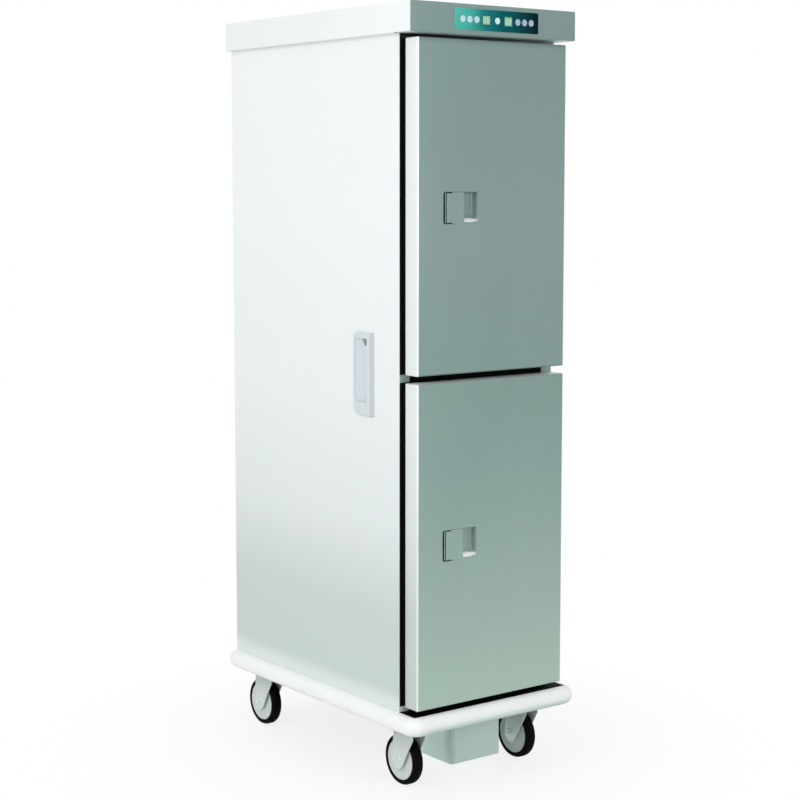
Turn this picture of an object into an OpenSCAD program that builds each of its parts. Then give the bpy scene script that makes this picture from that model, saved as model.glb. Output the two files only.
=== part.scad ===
// Heated holding cabinet: a slim insulated stainless body on four swivel casters, with two
// compartments, one above the other, each with its own hinged door, latch, heater and fan.
// +X is to the right, +Y to the back, +Z up. The doors face -Y.
// The origin is on the floor, under the middle of the base.

/* [Cabinet body] */
// Width over the two side panels
body_w = 455; // [440:1:500]
// Depth from the front frame to the rear panel
body_d = 705; // [690:1:780]
// Height of the insulated body between the base deck and the top cover
body_h = 1538; // [1500:2:1700]
// Thickness of the side, rear and roof sheets
sheet_t = 1.2; // [1:0.1:2]
// Thickness of the front frame
frame_t = 2; // [1.5:0.5:3]

/* [Compartments] */
// Thickness of an insulated side wall, from the outer sheet to the compartment
wall_w = 55; // [55:1:60]
// Inside depth of a compartment behind the front frame
cell_d = 636; // [620:1:640]
// Thickness of the inner liners
liner_t = 1; // [0.8:0.1:1.5]
// Distance from a door's upper or lower edge to the compartment opening
cell_edge = 25; // [25:1:35]
// Tray levels in each compartment
tray_levels = 9; // [3:1:9]
// Height between two tray levels
tray_pitch = 70; // [60:1:72]
// Height of the lowest tray above the compartment floor
tray_first = 50; // [30:1:60]
// Width of the ledge that carries a tray
ledge_w = 14; // [12:1:18]
// Height of the runner's wall flange
ledge_h = 12; // [8:1:20]
// Thickness of the tray runners
ledge_t = 1.5; // [1:0.5:2]
// Length of the tray runners
ledge_len = 560; // [500:1:570]
// Distance from the front opening to the tray runners
ledge_front = 6; // [3:1:10]

/* [Doors] */
// Thickness of a door
door_t = 46; // [44:1:60]
// Space between a closed door and the front frame, filled by the gasket
seal_gap = 14; // [14:1:18]
// Distance from the left side panel to the door's free edge
door_left = 6; // [2:1:10]
// Distance from the door's hinge edge to the right side panel
door_right = 14; // [14:1:20]
// Space under the lower door
gap_bottom = 13; // [8:1:20]
// Space between the two doors
gap_middle = 18; // [12:1:24]
// Space above the upper door
gap_top = 10; // [6:1:16]
// Thickness of the door sheets
door_sheet = 1; // [0.8:0.1:1.5]
// Width of the gasket's foot
gasket_w = 18; // [14:1:18]
// Width of the gasket's lip
lip_w = 10; // [6:1:12]
// Thickness of the gasket's foot
gasket_foot = 5; // [3:1:7]
// Distance from the gasket to the door's upper and lower edges
gasket_edge = 5; // [3:1:6]
// Distance from the gasket to the door's free edge
gasket_free = 3; // [2:1:3]
// Distance from the gasket to the door's hinge edge
gasket_hinge = 20; // [16:1:22]
// Space between a closed gasket and the front frame
seal_clear = 0.3; // [0.3:0.1:0.5]

/* [Hinges] */
// Distance from the door's edge to the hinge axis
axis_out = 7; // [7:0.5:8]
// Outer radius of the hinge barrels
barrel_r = 5; // [4.5:0.5:5]
// Radius of the hinge pins
pin_r = 3; // [2:0.5:3.5]
// Radial clearance of a running pin or axle
run_clear = 0.05; // [0.02:0.01:0.1]
// Height of a hinge barrel
barrel_h = 60; // [40:1:80]
// Thickness of the leaf on the door's edge
leaf_t = 3; // [2.5:0.5:3.5]
// Width of the leaf on the door's edge
leaf_w = 36; // [20:1:40]
// Distance from a door's end to the middle of its hinge
hinge_end = 90; // [70:1:150]
// Thickness of the bracket ears above and below a barrel
ear_t = 5; // [4:0.5:8]
// Radius of the ears round the pin
ear_r = 6; // [5:0.5:6.4]
// Thickness of the bracket's foot on the front frame
foot_t = 2; // [1.5:0.5:3]

/* [Door latches] */
// Distance from the door's free edge to the latch housing
latch_x = 72; // [66:1:90]
// Width of the latch housing
latch_w = 99; // [95:1:120]
// Height of the latch housing
latch_h = 72; // [60:1:90]
// Depth of the latch housing
latch_d = 17; // [17:1:20]
// Wall of the latch housing
latch_wall = 2; // [1.5:0.5:3]
// Reach of the paddle, from the housing's left edge
paddle_reach = 60; // [50:1:66]
// Thickness of the paddle
paddle_t = 4; // [3:0.5:5]
// Gap round the paddle
paddle_gap = 0.5; // [0.3:0.1:1]
// Radius of the paddle's rounded hinge edge
knuckle_r = 3; // [3:0.5:4]
// Radius of the paddle's pivot pin
pivot_r = 1.5; // [1:0.25:1.75]
// Depth of the finger recess
recess_d = 15; // [12:1:15]
// Height of the sloping floor of the finger recess
recess_slope = 18; // [8:1:24]
// Reach of the paddle's arm behind its pivot
arm_reach = 20.5; // [18:0.5:20.5]
// Width of the paddle's arm and the latch bolt's lug
arm_w = 5; // [4:0.5:6]
// Travel of the latch bolt
bolt_travel = 11; // [9:0.5:11]
// Thickness of the latch bolt
bolt_t = 6; // [4:0.5:7]
// Height of the latch bolt
bolt_h = 14; // [10:1:18]
// Length of the bolt's nose
nose_len = 6; // [4:0.5:6]
// Space between the bolt's nose and the keeper's lip
nose_gap = 1.5; // [1.2:0.1:2]
// Clearance round the bolt in the door
bolt_clear = 0.4; // [0.3:0.1:0.8]
// Height of a keeper
keeper_h = 32; // [20:1:40]
// Thickness of a keeper
keeper_t = 2; // [1.5:0.5:2]

/* [Top cover and controls] */
// Height of the top cover
cover_h = 68; // [60:1:80]
// Overhang of the top cover at each side
cover_side = 14; // [4:1:20]
// Overhang of the top cover at the front
cover_front = 59; // [50:1:70]
// Overhang of the top cover at the back
cover_rear = 4; // [0:1:10]
// Thickness of the top cover
cover_t = 1.5; // [1:0.5:2]
// Width of the cover's lower flange where it rests on the body
cover_seat = 12; // [8:1:20]
// Width of the control panel
panel_w = 245; // [240:1:260]
// Height of the control panel
panel_h = 47; // [42:1:52]
// Thickness of the control panel
panel_t = 2; // [1.5:0.5:3]
// Sideways offset of the control panel from the middle
panel_shift = 3; // [0:1:6]
// Radius of the round push buttons
button_r = 8; // [6:0.5:8]
// How far a button stands out of the panel
button_proud = 0.8; // [0.7:0.1:1.5]
// Travel of a button
button_travel = 0.6; // [0.3:0.1:0.6]
// Distance between neighbouring buttons
button_pitch = 20; // [19:0.5:20]
// Distance from the panel's end to the middle of the outermost button
button_end = 22.5; // [20:0.5:23]
// Width of a display
display_w = 25; // [20:1:26]
// Height of a display
display_h = 23; // [16:1:24]
// How far a display sits outward of the middle between its neighbouring buttons
display_shift = 2; // [0:0.5:3]

/* [Base and bumper] */
// Height of the chassis rails
rail_h = 40; // [34:1:50]
// Width of the side rails
rail_side = 100; // [90:1:104]
// Width of the front and rear rails
rail_end = 50; // [40:1:52]
// Wall of the rails
rail_t = 2; // [1.5:0.5:3]
// Thickness of the base deck
deck_t = 2; // [1.5:0.5:3]
// How far the base deck runs forward of the front frame, under the doors
deck_front = 58; // [55:1:70]
// How far the bumper stands out
bumper_out = 24; // [22:1:30]
// Inner radius of the bumper's corners
bumper_corner = 12; // [6:1:20]

/* [Push handles] */
// Distance from the front frame to a push handle
grip_y = 96; // [80:1:140]
// Width of a push handle
grip_w = 72; // [66:1:90]
// Height of a push handle
grip_h = 195; // [170:1:230]
// How far a push handle stands out of the side
grip_out = 10; // [8:1:12]
// Corner radius at the lower rear of a push handle
grip_r = 26; // [10:1:30]
// Width of the bar that the fingers close round
bar_w = 21; // [18:1:24]
// Width of the hand pocket's mouth
pocket_w = 38; // [32:1:40]
// Height of the hand pocket
pocket_h = 148; // [120:1:150]
// Distance from the handle's top to the hand pocket
pocket_top = 16; // [10:1:20]
// Depth of the hand pocket behind the side panel
pocket_d = 16; // [10:1:20]

/* [Casters] */
// Tyre diameter
tyre_d = 120; // [110:1:124]
// Tyre width
tyre_w = 28; // [24:1:30]
// Radius of the wheel's rim under the tyre
rim_r = 48; // [40:1:50]
// Radius of the rounded shoulders of the tyre
shoulder_r = 7; // [3:1:9]
// Height from the floor to the top of the caster's plate
caster_h = 152; // [150:1:160]
// Distance from the swivel axis to the wheel's axle
trail = 32; // [20:1:34]
// Distance from the side of the base to a swivel axis
caster_side = 55; // [52:1:58]
// Distance from the front or back of the base to a swivel axis
caster_end = 80.5; // [78:0.5:90]
// Radius of the round end of a fork leg
fork_r = 20; // [14:0.5:36]
// Length of the straight front edge of a fork leg
fork_edge = 20; // [12:1:30]
// Distance that the fork's legs reach behind its crown
fork_heel = 22; // [4:1:24]
// Thickness of the fork
fork_t = 3; // [2.5:0.5:4]
// Space inside the fork
fork_gap = 34; // [32:1:36]
// Radius of the fork's crown and the race above it
crown_r = 29; // [26:1:32]
// Radius of the axle
axle_r = 4; // [3:0.5:5]
// Radius of the king pin
king_r = 6; // [5:0.5:7]

/* [Electrics box] */
// Space between the box under the base and the sweep of the casters
ebox_gap = 4.5; // [3:0.5:15]
// Depth of the box under the base
ebox_d = 230; // [200:1:320]
// Height of the box's floor above the ground
ebox_floor = 40; // [30:1:70]
// Corner radius of the box
ebox_r = 8; // [3:1:12]
// Thickness of the box
ebox_t = 1.5; // [1:0.5:2]
// Radius of the supply cord's bore in the cable gland
gland_bore = 4.5; // [3:0.5:6]

/* [Heating] */
// Radius of a fan wheel
fan_r = 75; // [60:1:80]
// Depth of a fan wheel
fan_depth = 30; // [20:1:32]
// Radius of the ring of a heating element
heater_r = 95; // [90:1:110]
// Radius of the heating element's tube
heater_tube = 4; // [3:0.5:5]
// Space between the air baffle and the compartment's back
plenum = 50; // [46:1:56]

/* [Hidden] */
$fn = 48;

// Clearance between bodies that pass each other, and the overrun of a cut past a face
pass = 0.3;
cut = 1;

// Levels above the floor, and the radius of the bumper's half-round section
deck_z = caster_h + rail_h;
body_z = deck_z + deck_t;
bumper_r = (body_z - caster_h) / 2 + 1;
cover_z = body_z + body_h;
door_h = (body_h - gap_bottom - gap_middle - gap_top) / 2;
lower_door_z = body_z + gap_bottom;
upper_door_z = lower_door_z + door_h + gap_middle;
lower_cell_z = lower_door_z + cell_edge;
upper_cell_z = upper_door_z + cell_edge;
cell_h = door_h - 2 * cell_edge;
lower_mid_z = lower_door_z + door_h / 2;
upper_mid_z = upper_door_z + door_h / 2;
grip_z = upper_door_z - gap_middle / 2 - grip_h / 2;

// Depths measured from the front frame's face, backward
base_d = deck_front + body_d;
front_y = deck_front - base_d / 2;
cell_back = frame_t + cell_d;
baffle_y = cell_back - plenum;
door_front = -seal_gap - door_t;
door_w = body_w - door_left - door_right;
cell_x = wall_w;
cell_w = body_w - 2 * wall_w;

// Hinge axis
axis_x = body_w - door_right + axis_out;
axis_y = -seal_gap - door_t / 2;
ear_reach = seal_gap + door_t / 2;

// Latch, measured from the housing's left edge and the door's front face
pivot_x = latch_wall + 3 + knuckle_r;
pivot_y = knuckle_r;
arm_tip = pivot_y + arm_reach;
bolt_y = arm_tip + 0.5;
lug_x = pivot_x + arm_w + 0.6;
window_x = lug_x + arm_w + bolt_travel + 1;
foot_w = 8;
nose_t = 5;
nose_y = door_t + seal_gap - nose_t - 4;
keeper_side = 8.5;
keeper_gap = 1;
gasket_end = gasket_free + gasket_w;
foot_x = gasket_end + keeper_gap + keeper_side + nose_gap + nose_len - latch_x;
sheet_slot = bolt_clear + 0.1;

// Casters
wheel_r = tyre_d / 2;
caster_x = body_w - 2 * caster_side;
caster_y = base_d - 2 * caster_end;
sweep_r = norm([trail + wheel_r, tyre_w / 2]);
ebox_w = body_w - 2 * (caster_side + sweep_r + ebox_gap);
plate_t = 3;
race_h = 8.5;
crown_z = caster_h - plate_t - race_h - pass;
crown_h = 8;
nut_h = 4;

// Heating
fan_mid = cell_back - 8 - fan_depth;
shaft_r = 4;
motor_r = 35;
motor_len = 50;
leg_angle = 12;
leg_r = heater_tube + 1;
leg_end = 22;
inlet_r = 0.8 * fan_r;

button_last = panel_w / 2 - button_end;
display_x = button_last / 2 - button_pitch + display_shift;
button_collar = 1;
window_rim = button_collar + 1;
board_rim = 8;
board_w = 2 * (button_last + button_r + window_rim + board_rim);
board_y = 10;
board_t = 1.6;
board_post = 2.5;
window_h = display_h + 3;
switch_h = 5;
button_offsets = [
    for (i = [0:2]) i * button_pitch - button_last,
    0,
    for (i = [2:-1:0]) button_last - i * button_pitch
];

steel = [0.74, 0.78, 0.76];
pale_steel = [0.88, 0.90, 0.89];
dark_steel = [0.45, 0.47, 0.48];
white_plastic = [0.95, 0.96, 0.96];
black_rubber = [0.04, 0.04, 0.04];
foam = [0.93, 0.86, 0.62];
copper = [0.72, 0.45, 0.28];
board_green = [0.05, 0.35, 0.18];
teal = [0.05, 0.50, 0.52];

// Frame of the cabinet: x from the left side panel, y from the front frame's face
module cabinet() translate([-body_w / 2, front_y, 0]) children();

// A box between two corners
module box(lo, hi) translate(lo) cube(hi - lo);

// A cylinder along Y
module rod_y(r, y0, y1) translate([0, y0, 0]) rotate([-90, 0, 0]) cylinder(r = r, h = y1 - y0);

// A cylinder along X
module rod_x(r, x0, x1) translate([x0, 0, 0]) rotate([0, 90, 0]) cylinder(r = r, h = x1 - x0);

// What is left of a square corner when it is rounded
module corner_waste(r) {
    difference() {
        translate([-cut, -cut]) square(r + cut);
        translate([r, r]) circle(r);
    }
}

// A rectangle with one radius on all corners
module rounded(w, h, r) {
    difference() {
        square([w, h]);
        corner_waste(r);
        translate([w, 0]) mirror([1, 0]) corner_waste(r);
        translate([0, h]) mirror([0, 1]) corner_waste(r);
        translate([w, h]) mirror([1, 1]) corner_waste(r);
    }
}

// Body sheets

module side_sheet() {
    difference() {
        box([0, 0, body_z], [sheet_t, body_d, cover_z]);
        grip_hole(sheet_t + cut);
    }
}

module left_side_panel() color(pale_steel) cabinet() side_sheet();

module right_side_panel() color(pale_steel) cabinet() other_side() side_sheet();

module other_side() translate([body_w, 0, 0]) mirror([1, 0, 0]) children();

module rear_panel() {
    color(pale_steel) cabinet()
        box([sheet_t, body_d - sheet_t, body_z], [body_w - sheet_t, body_d, cover_z]);
}

module roof_panel() {
    color(steel) cabinet()
        box([sheet_t, frame_t, cover_z - sheet_t], [body_w - sheet_t, body_d - sheet_t, cover_z]);
}

module front_frame() {
    color(steel) cabinet() difference() {
        box([sheet_t, 0, body_z], [body_w - sheet_t, frame_t, cover_z]);
        for (z = [lower_cell_z, upper_cell_z]) {
            box([cell_x, -cut, z], [cell_x + cell_w, frame_t + cut, z + cell_h]);
        }
    }
}

// Compartments

module at_fan(z) translate([body_w / 2, 0, z]) children();

module heater_legs() {
    for (a = [-leg_angle, leg_angle]) {
        translate([heater_r * sin(a), 0, -heater_r * cos(a)]) children();
    }
}

module liner(z, mid_z) {
    color(pale_steel) cabinet() difference() {
        box([cell_x - liner_t, frame_t, z - liner_t],
            [cell_x + cell_w + liner_t, cell_back + liner_t, z + cell_h + liner_t]);
        box([cell_x, frame_t - cut, z], [cell_x + cell_w, cell_back, z + cell_h]);
        at_fan(mid_z) rod_y(shaft_r + 0.5, cell_back - cut, cell_back + liner_t + cut);
        at_fan(mid_z) heater_legs() rod_y(leg_r + pass, cell_back - cut, cell_back + liner_t + cut);
    }
}

module liner_space(z, mid_z) {
    box([cell_x - liner_t, frame_t - cut, z - liner_t],
        [cell_x + cell_w + liner_t, cell_back + liner_t, z + cell_h + liner_t]);
    at_fan(mid_z) rod_y(motor_r + 2, cell_back, cell_back + motor_len + 6);
    at_fan(mid_z) heater_legs() rod_y(leg_r + 2, cell_back, cell_back + leg_end + 4);
}

module wall_insulation() {
    color(foam) cabinet() difference() {
        box([sheet_t, frame_t, body_z], [body_w - sheet_t, body_d - sheet_t, cover_z - sheet_t]);
        liner_space(lower_cell_z, lower_mid_z);
        liner_space(upper_cell_z, upper_mid_z);
        grip_cup_space();
        other_side() grip_cup_space();
    }
}

// An angle that carries a tray's rim: a ledge with its wall flange turned down
module tray_runner(x, z) {
    translate([x, frame_t + ledge_front, z]) {
        box([0, 0, -ledge_h], [ledge_t, ledge_len, 0]);
        box([0, 0, -ledge_t], [ledge_w, ledge_len, 0]);
    }
}

module tray_runners() {
    color(steel) cabinet() for (z = [lower_cell_z, upper_cell_z], i = [0:tray_levels - 1]) {
        tray_runner(cell_x, z + tray_first + i * tray_pitch);
        other_side() tray_runner(cell_x, z + tray_first + i * tray_pitch);
    }
}

// A folded sheet in front of the fan: inlet slots in the middle, outlet slots along both sides
module air_baffle(mid_z) {
    half_h = cell_h / 2 - 4;
    left = cell_x + pass;
    right = cell_x + cell_w - pass;
    slot_len = 40;
    slot_pitch = 60;
    difference() {
        box([left, baffle_y, mid_z - half_h], [right, cell_back, mid_z + half_h]);
        box([left + liner_t, baffle_y + liner_t, mid_z - half_h - cut],
            [right - liner_t, cell_back + cut, mid_z + half_h + cut]);
        for (i = [-4:4]) {
            w = inlet_r * sqrt(1 - pow(i / 5, 2));
            translate([body_w / 2, 0, mid_z + i * inlet_r / 5])
                box([-w, baffle_y - cut, -3], [w, baffle_y + liner_t + cut, 3]);
        }
        for (i = [-5:5], x = [left + 22, right - 30]) {
            translate([x, 0, mid_z + i * slot_pitch - slot_len / 2])
                box([0, baffle_y - cut, 0], [8, baffle_y + liner_t + cut, slot_len]);
        }
    }
}

module air_baffles() {
    color(steel) cabinet() for (z = [lower_mid_z, upper_mid_z]) air_baffle(z);
}

module fan_motor() {
    rod_y(shaft_r, fan_mid - 6, cell_back + motor_len);
    rod_y(motor_r - 6, cell_back + liner_t, cell_back + motor_len);
    rod_y(motor_r, cell_back + liner_t, cell_back + liner_t + 3);
    rod_y(motor_r, cell_back + 14, cell_back + motor_len - 10);
}

module fan_motors() {
    color(dark_steel) cabinet() for (z = [lower_mid_z, upper_mid_z]) at_fan(z) fan_motor();
}

module fan_wheel(mid_z) {
    blades = 10;
    back = fan_mid + fan_depth;
    color(steel) cabinet() at_fan(mid_z) difference() {
        union() {
            rod_y(fan_r, back - 1.5, back);
            rod_y(12, fan_mid, back);
            for (i = [0:blades - 1]) {
                rotate([0, i * 360 / blades, 0])
                    box([30, fan_mid, -0.8], [fan_r - 1, back - 0.5, 0.8]);
            }
        }
        rod_y(shaft_r + run_clear, fan_mid - cut, back + cut);
    }
}

// A tube bent to a ring round the fan, with two sleeved legs through the compartment's back
module heating_element() {
    ring_y = fan_mid + fan_depth / 2;
    rotate([90, 0, 0]) translate([0, 0, -ring_y])
        rotate([0, 0, leg_angle - 90]) rotate_extrude(angle = 360 - 2 * leg_angle)
            translate([heater_r, 0]) circle(heater_tube);
    heater_legs() rod_y(leg_r, ring_y - leg_r, cell_back + leg_end);
}

module heating_elements() {
    color(copper) cabinet() for (z = [lower_mid_z, upper_mid_z]) at_fan(z) heating_element();
}

// Chassis and bumper

module rail(lo, hi, along) {
    inner_lo = [for (i = [0:2]) i == along ? lo[i] - cut : lo[i] + rail_t];
    inner_hi = [for (i = [0:2]) i == along ? hi[i] + cut : hi[i] - rail_t];
    difference() {
        box(lo, hi);
        box(inner_lo, inner_hi);
    }
}

module chassis() {
    side_from = -deck_front + rail_end;
    side_to = body_d - rail_end;
    color(black_rubber) cabinet() {
        box([0, -deck_front, deck_z], [body_w, body_d, body_z]);
        for (x = [0, body_w - rail_side]) {
            rail([x, side_from, caster_h], [x + rail_side, side_to, deck_z], 1);
        }
        for (y = [-deck_front, side_to]) {
            rail([0, y, caster_h], [body_w, y + rail_end, deck_z], 0);
        }
    }
}

// Half-round section, standing out to +x from the base's side
module bumper_section(inner = 0) {
    intersection() {
        translate([bumper_out - bumper_r, 0]) circle(bumper_r);
        translate([-inner, -bumper_r]) square([bumper_out + inner, 2 * bumper_r]);
    }
}

// A rounded corner that fits round the square corner of the base
module bumper_turn() {
    difference() {
        rotate_extrude(angle = 90) translate([bumper_corner, 0]) bumper_section(bumper_corner / 2);
        box([-cut, -cut, -bumper_r - cut], [bumper_corner, bumper_corner, bumper_r + cut]);
    }
}

module bumper_length(len) rotate([90, 0, 0]) linear_extrude(len, center = true) bumper_section();

module bumper() {
    mid_z = body_z - bumper_r;
    long = base_d - 2 * bumper_corner;
    wide = body_w - 2 * bumper_corner;
    color(white_plastic) translate([0, 0, mid_z]) {
        for (a = [0, 180]) {
            rotate([0, 0, a]) translate([body_w / 2, 0, 0]) bumper_length(long);
            rotate([0, 0, a + 90]) translate([base_d / 2, 0, 0]) bumper_length(wide);
        }
        for (sx = [0, 1], sy = [0, 1]) {
            mirror([sx, 0, 0]) mirror([0, sy, 0]) translate([wide / 2, long / 2, 0]) bumper_turn();
        }
    }
}

// Top cover and controls

module top_cover() {
    lo = [-cover_side, -cover_front, cover_z];
    hi = [body_w + cover_side, body_d + cover_rear, cover_z + cover_h];
    wall = [cover_t, cover_t, cover_t];
    color(pale_steel) cabinet() difference() {
        box(lo, hi);
        box(lo + wall, hi - wall);
        box([cover_seat, cover_seat, cover_z - cut],
            [body_w - cover_seat, body_d - cover_seat, cover_z + cover_t + cut]);
        at_panel() box([board_rim - board_w / 2, -cut, -window_h / 2],
            [board_w / 2 - board_rim, cover_t + cut, window_h / 2]);
    }
}

// Middle of the control panel, with y from the cover's front face
module at_panel() {
    translate([body_w / 2 + panel_shift, -cover_front, cover_z + cover_h / 2]) children();
}

module control_panel() {
    color(teal) cabinet() at_panel() difference() {
        box([-panel_w / 2, -panel_t, -panel_h / 2], [panel_w / 2, 0, panel_h / 2]);
        for (x = button_offsets) translate([x, 0, 0]) rod_y(button_r + pass, -panel_t - cut, cut);
        for (x = [-display_x, display_x]) {
            translate([x, 0, 0])
                box([-display_w / 2, -panel_t - cut, -display_h / 2], [display_w / 2, cut, display_h / 2]);
        }
    }
}

module button(i) {
    inner = board_y - switch_h - button_travel - pass;
    color(white_plastic) cabinet() at_panel() translate([button_offsets[i - 1], 0, 0]) {
        rod_y(button_r, -panel_t - button_proud, inner);
        rod_y(button_r + button_collar, pass, pass + 1.5);
    }
}

module control_board() {
    board_h = panel_h - 13;
    display_front = -panel_t + 0.8;
    post_x = board_w / 2 - board_rim / 2;
    post_z = board_h / 2 - 6;
    box([-board_w / 2, board_y, -board_h / 2], [board_w / 2, board_y + board_t, board_h / 2]);
    for (x = [-post_x, post_x], z = [-post_z, post_z]) {
        translate([x, 0, z]) rod_y(board_post, cover_t, board_y);
    }
    for (x = [-display_x, display_x]) {
        translate([x, 0, 0]) box([-display_w / 2 + pass, display_front, -display_h / 2 + pass],
            [display_w / 2 - pass, board_y, display_h / 2 - pass]);
    }
    for (x = button_offsets) translate([x, 0, 0]) rod_y(3, board_y - switch_h, board_y);
}

// Board with a transformer, three relays, a terminal block and four posts
module power_board() {
    floor_z = ebox_floor + ebox_t;
    board_z = floor_z + 10;
    top = board_z + board_t;
    half_w = ebox_w / 3;
    half_d = ebox_d * 0.3;
    relay = half_w * 0.4;
    translate([body_w / 2, ebox_d / 2, 0]) {
        box([-half_w, -half_d, board_z], [half_w, half_d, top]);
        box([-0.8 * half_w, -0.9 * half_d, top], [0.4 * half_w, -0.3 * half_d, top + 0.9 * half_w]);
        for (i = [-1:1]) translate([i * 1.4 * relay, 0, 0])
            box([-relay / 2, 0.1 * half_d, top], [relay / 2, 0.4 * half_d, top + relay]);
        box([-0.8 * half_w, 0.6 * half_d, top], [0.8 * half_w, 0.8 * half_d, top + relay / 2]);
        for (x = [-0.9 * half_w, 0.9 * half_w], y = [-0.93 * half_d, 0.93 * half_d]) {
            translate([x, y, floor_z]) cylinder(r = 4, h = board_z - floor_z);
        }
    }
}

module circuit_boards() {
    color(board_green) cabinet() {
        at_panel() control_board();
        power_board();
    }
}

// Electrics box

module electrics_box() {
    flange = 14;
    color(steel) cabinet() translate([(body_w - ebox_w) / 2, 0, 0]) difference() {
        union() {
            translate([0, 0, ebox_floor]) linear_extrude(deck_z - ebox_floor)
                rounded(ebox_w, ebox_d, ebox_r);
            box([-flange, 10, deck_z - ebox_t], [ebox_w + flange, ebox_d - 10, deck_z]);
        }
        translate([ebox_t, ebox_t, ebox_floor + ebox_t]) linear_extrude(deck_z - ebox_floor)
            rounded(ebox_w - 2 * ebox_t, ebox_d - 2 * ebox_t, ebox_r - ebox_t);
        translate([ebox_w / 2, 0, gland_z]) rod_y(gland_r + 0.2, ebox_d - ebox_t - cut, ebox_d + cut);
    }
}

gland_z = 110;
gland_r = 10;

module cable_gland() {
    color(black_rubber) cabinet() translate([body_w / 2, ebox_d, gland_z]) difference() {
        union() {
            rod_y(gland_r, -ebox_t - 8, 6);
            rotate([-90, 0, 0]) cylinder(r = gland_r + 3.5, h = 6, $fn = 6);
            rod_y(gland_r - 0.5, 5, 22);
            translate([0, -ebox_t - 5, 0]) rotate([-90, 0, 0]) cylinder(r = gland_r + 3.5, h = 5, $fn = 6);
        }
        rod_y(gland_bore, -ebox_t - 8 - cut, 22 + cut);
    }
}

// Push handles: a raised shell with a hand pocket that runs in behind its front bar

cup_wall = 2;
cup_y = grip_y + bar_w - 10;
cup_w = pocket_w + 2;
cup_z = grip_z + grip_h - pocket_top - pocket_h;

module grip_hole(depth) {
    box([-cut, cup_y - cup_wall, cup_z - cup_wall],
        [depth, cup_y + cup_w, cup_z + pocket_h + cup_wall]);
}

module grip_cup_space() grip_hole(pocket_d + cup_wall);

// The outline faces -x; its first axis is y and its second axis is z
module grip_outline() {
    difference() {
        square([grip_w, grip_h]);
        corner_waste(4);
        translate([0, grip_h]) mirror([0, 1]) corner_waste(4);
        translate([grip_w, 0]) mirror([1, 0]) corner_waste(grip_r);
        translate([grip_w, grip_h]) mirror([1, 1]) corner_waste(12);
    }
}

module push_handle() {
    mouth_y = grip_y + bar_w;
    difference() {
        union() {
            translate([0, grip_y, grip_z]) rotate([90, 0, -90]) mirror([1, 0, 0])
                linear_extrude(grip_out) grip_outline();
            box([-cut, cup_y - cup_wall, cup_z - cup_wall],
                [pocket_d + cup_wall, cup_y + cup_w, cup_z + pocket_h + cup_wall]);
        }
        translate([0, 0, cup_z]) linear_extrude(pocket_h) polygon([
            [-grip_out - cut, mouth_y], [-grip_out - cut, mouth_y + pocket_w],
            [-grip_out + 4, mouth_y + pocket_w], [pocket_d, mouth_y + 4],
            [pocket_d, cup_y], [-3, cup_y], [-3, mouth_y]
        ]);
    }
}

module push_handles() {
    color(white_plastic) cabinet() {
        push_handle();
        other_side() push_handle();
    }
}

// Doors

module at_door(z) translate([door_left, door_front, z]) children();

module at_latch(z) translate([door_left + latch_x, door_front, z + door_h / 2]) children();

module door_skin(z) {
    inner_w = door_w - 2 * door_sheet;
    color(steel) cabinet() difference() {
        at_door(z) cube([door_w, door_t, door_h]);
        at_door(z) translate([door_sheet, door_sheet, door_sheet])
            cube([inner_w, door_t, door_h - 2 * door_sheet]);
        at_latch(z) box([0, -cut, -latch_h / 2], [latch_w, door_sheet + cut, latch_h / 2]);
    }
}

// Slot for the foot of the bolt through the door's inner sheet and core
module bolt_slot() {
    box([foot_x - sheet_slot, bolt_y, -bolt_h / 2 - sheet_slot],
        [foot_x + foot_w + bolt_travel + sheet_slot, door_t + cut, bolt_h / 2 + sheet_slot]);
}

module door_panel(z) {
    color(pale_steel) cabinet() difference() {
        at_door(z) box([door_sheet, door_t - door_sheet, door_sheet],
            [door_w - door_sheet, door_t, door_h - door_sheet]);
        at_latch(z) bolt_slot();
    }
}

module door_core(z) {
    half = bolt_h / 2 + bolt_clear;
    color(foam) cabinet() difference() {
        at_door(z) box([door_sheet, door_sheet, door_sheet],
            [door_w - door_sheet, door_t - door_sheet, door_h - door_sheet]);
        at_latch(z) {
            box([0, 0, -latch_h / 2], [latch_w, latch_d, latch_h / 2]);
            box([pivot_x - 2, 0, -half], [window_x + 1, bolt_y + bolt_t + bolt_clear, half]);
            box([foot_x - bolt_clear, bolt_y - bolt_clear, -half],
                [window_x + 1, bolt_y + bolt_t + bolt_clear, half]);
            bolt_slot();
        }
    }
}

// A rectangular ring on the door's back, between two depths behind the door's front face
module gasket_ring(inset, w, y0, y1) {
    left = gasket_free + inset;
    right = door_w - gasket_hinge - inset;
    low = gasket_edge + inset;
    high = door_h - gasket_edge - inset;
    difference() {
        box([left, y0, low], [right, y1, high]);
        box([left + w, y0 - cut, low + w], [right - w, y1 + cut, high - w]);
    }
}

module door_gasket(z) {
    back = door_t + seal_gap - seal_clear;
    color(black_rubber) cabinet() at_door(z) {
        gasket_ring(0, gasket_w, door_t, door_t + gasket_foot);
        gasket_ring((gasket_w - lip_w) / 2, lip_w, door_t, back);
    }
}

module at_hinges(z) {
    for (h = [hinge_end, door_h - hinge_end]) translate([axis_x, axis_y, z + h]) children();
}

module door_hinges(z) {
    half = barrel_h / 2;
    color(steel) cabinet() at_hinges(z) difference() {
        union() {
            cylinder(r = barrel_r, h = barrel_h, center = true);
            box([-axis_out, -leaf_w / 2, -half], [-axis_out + leaf_t, leaf_w / 2, half]);
        }
        cylinder(r = pin_r + run_clear, h = barrel_h + 2 * cut, center = true);
    }
}

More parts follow.
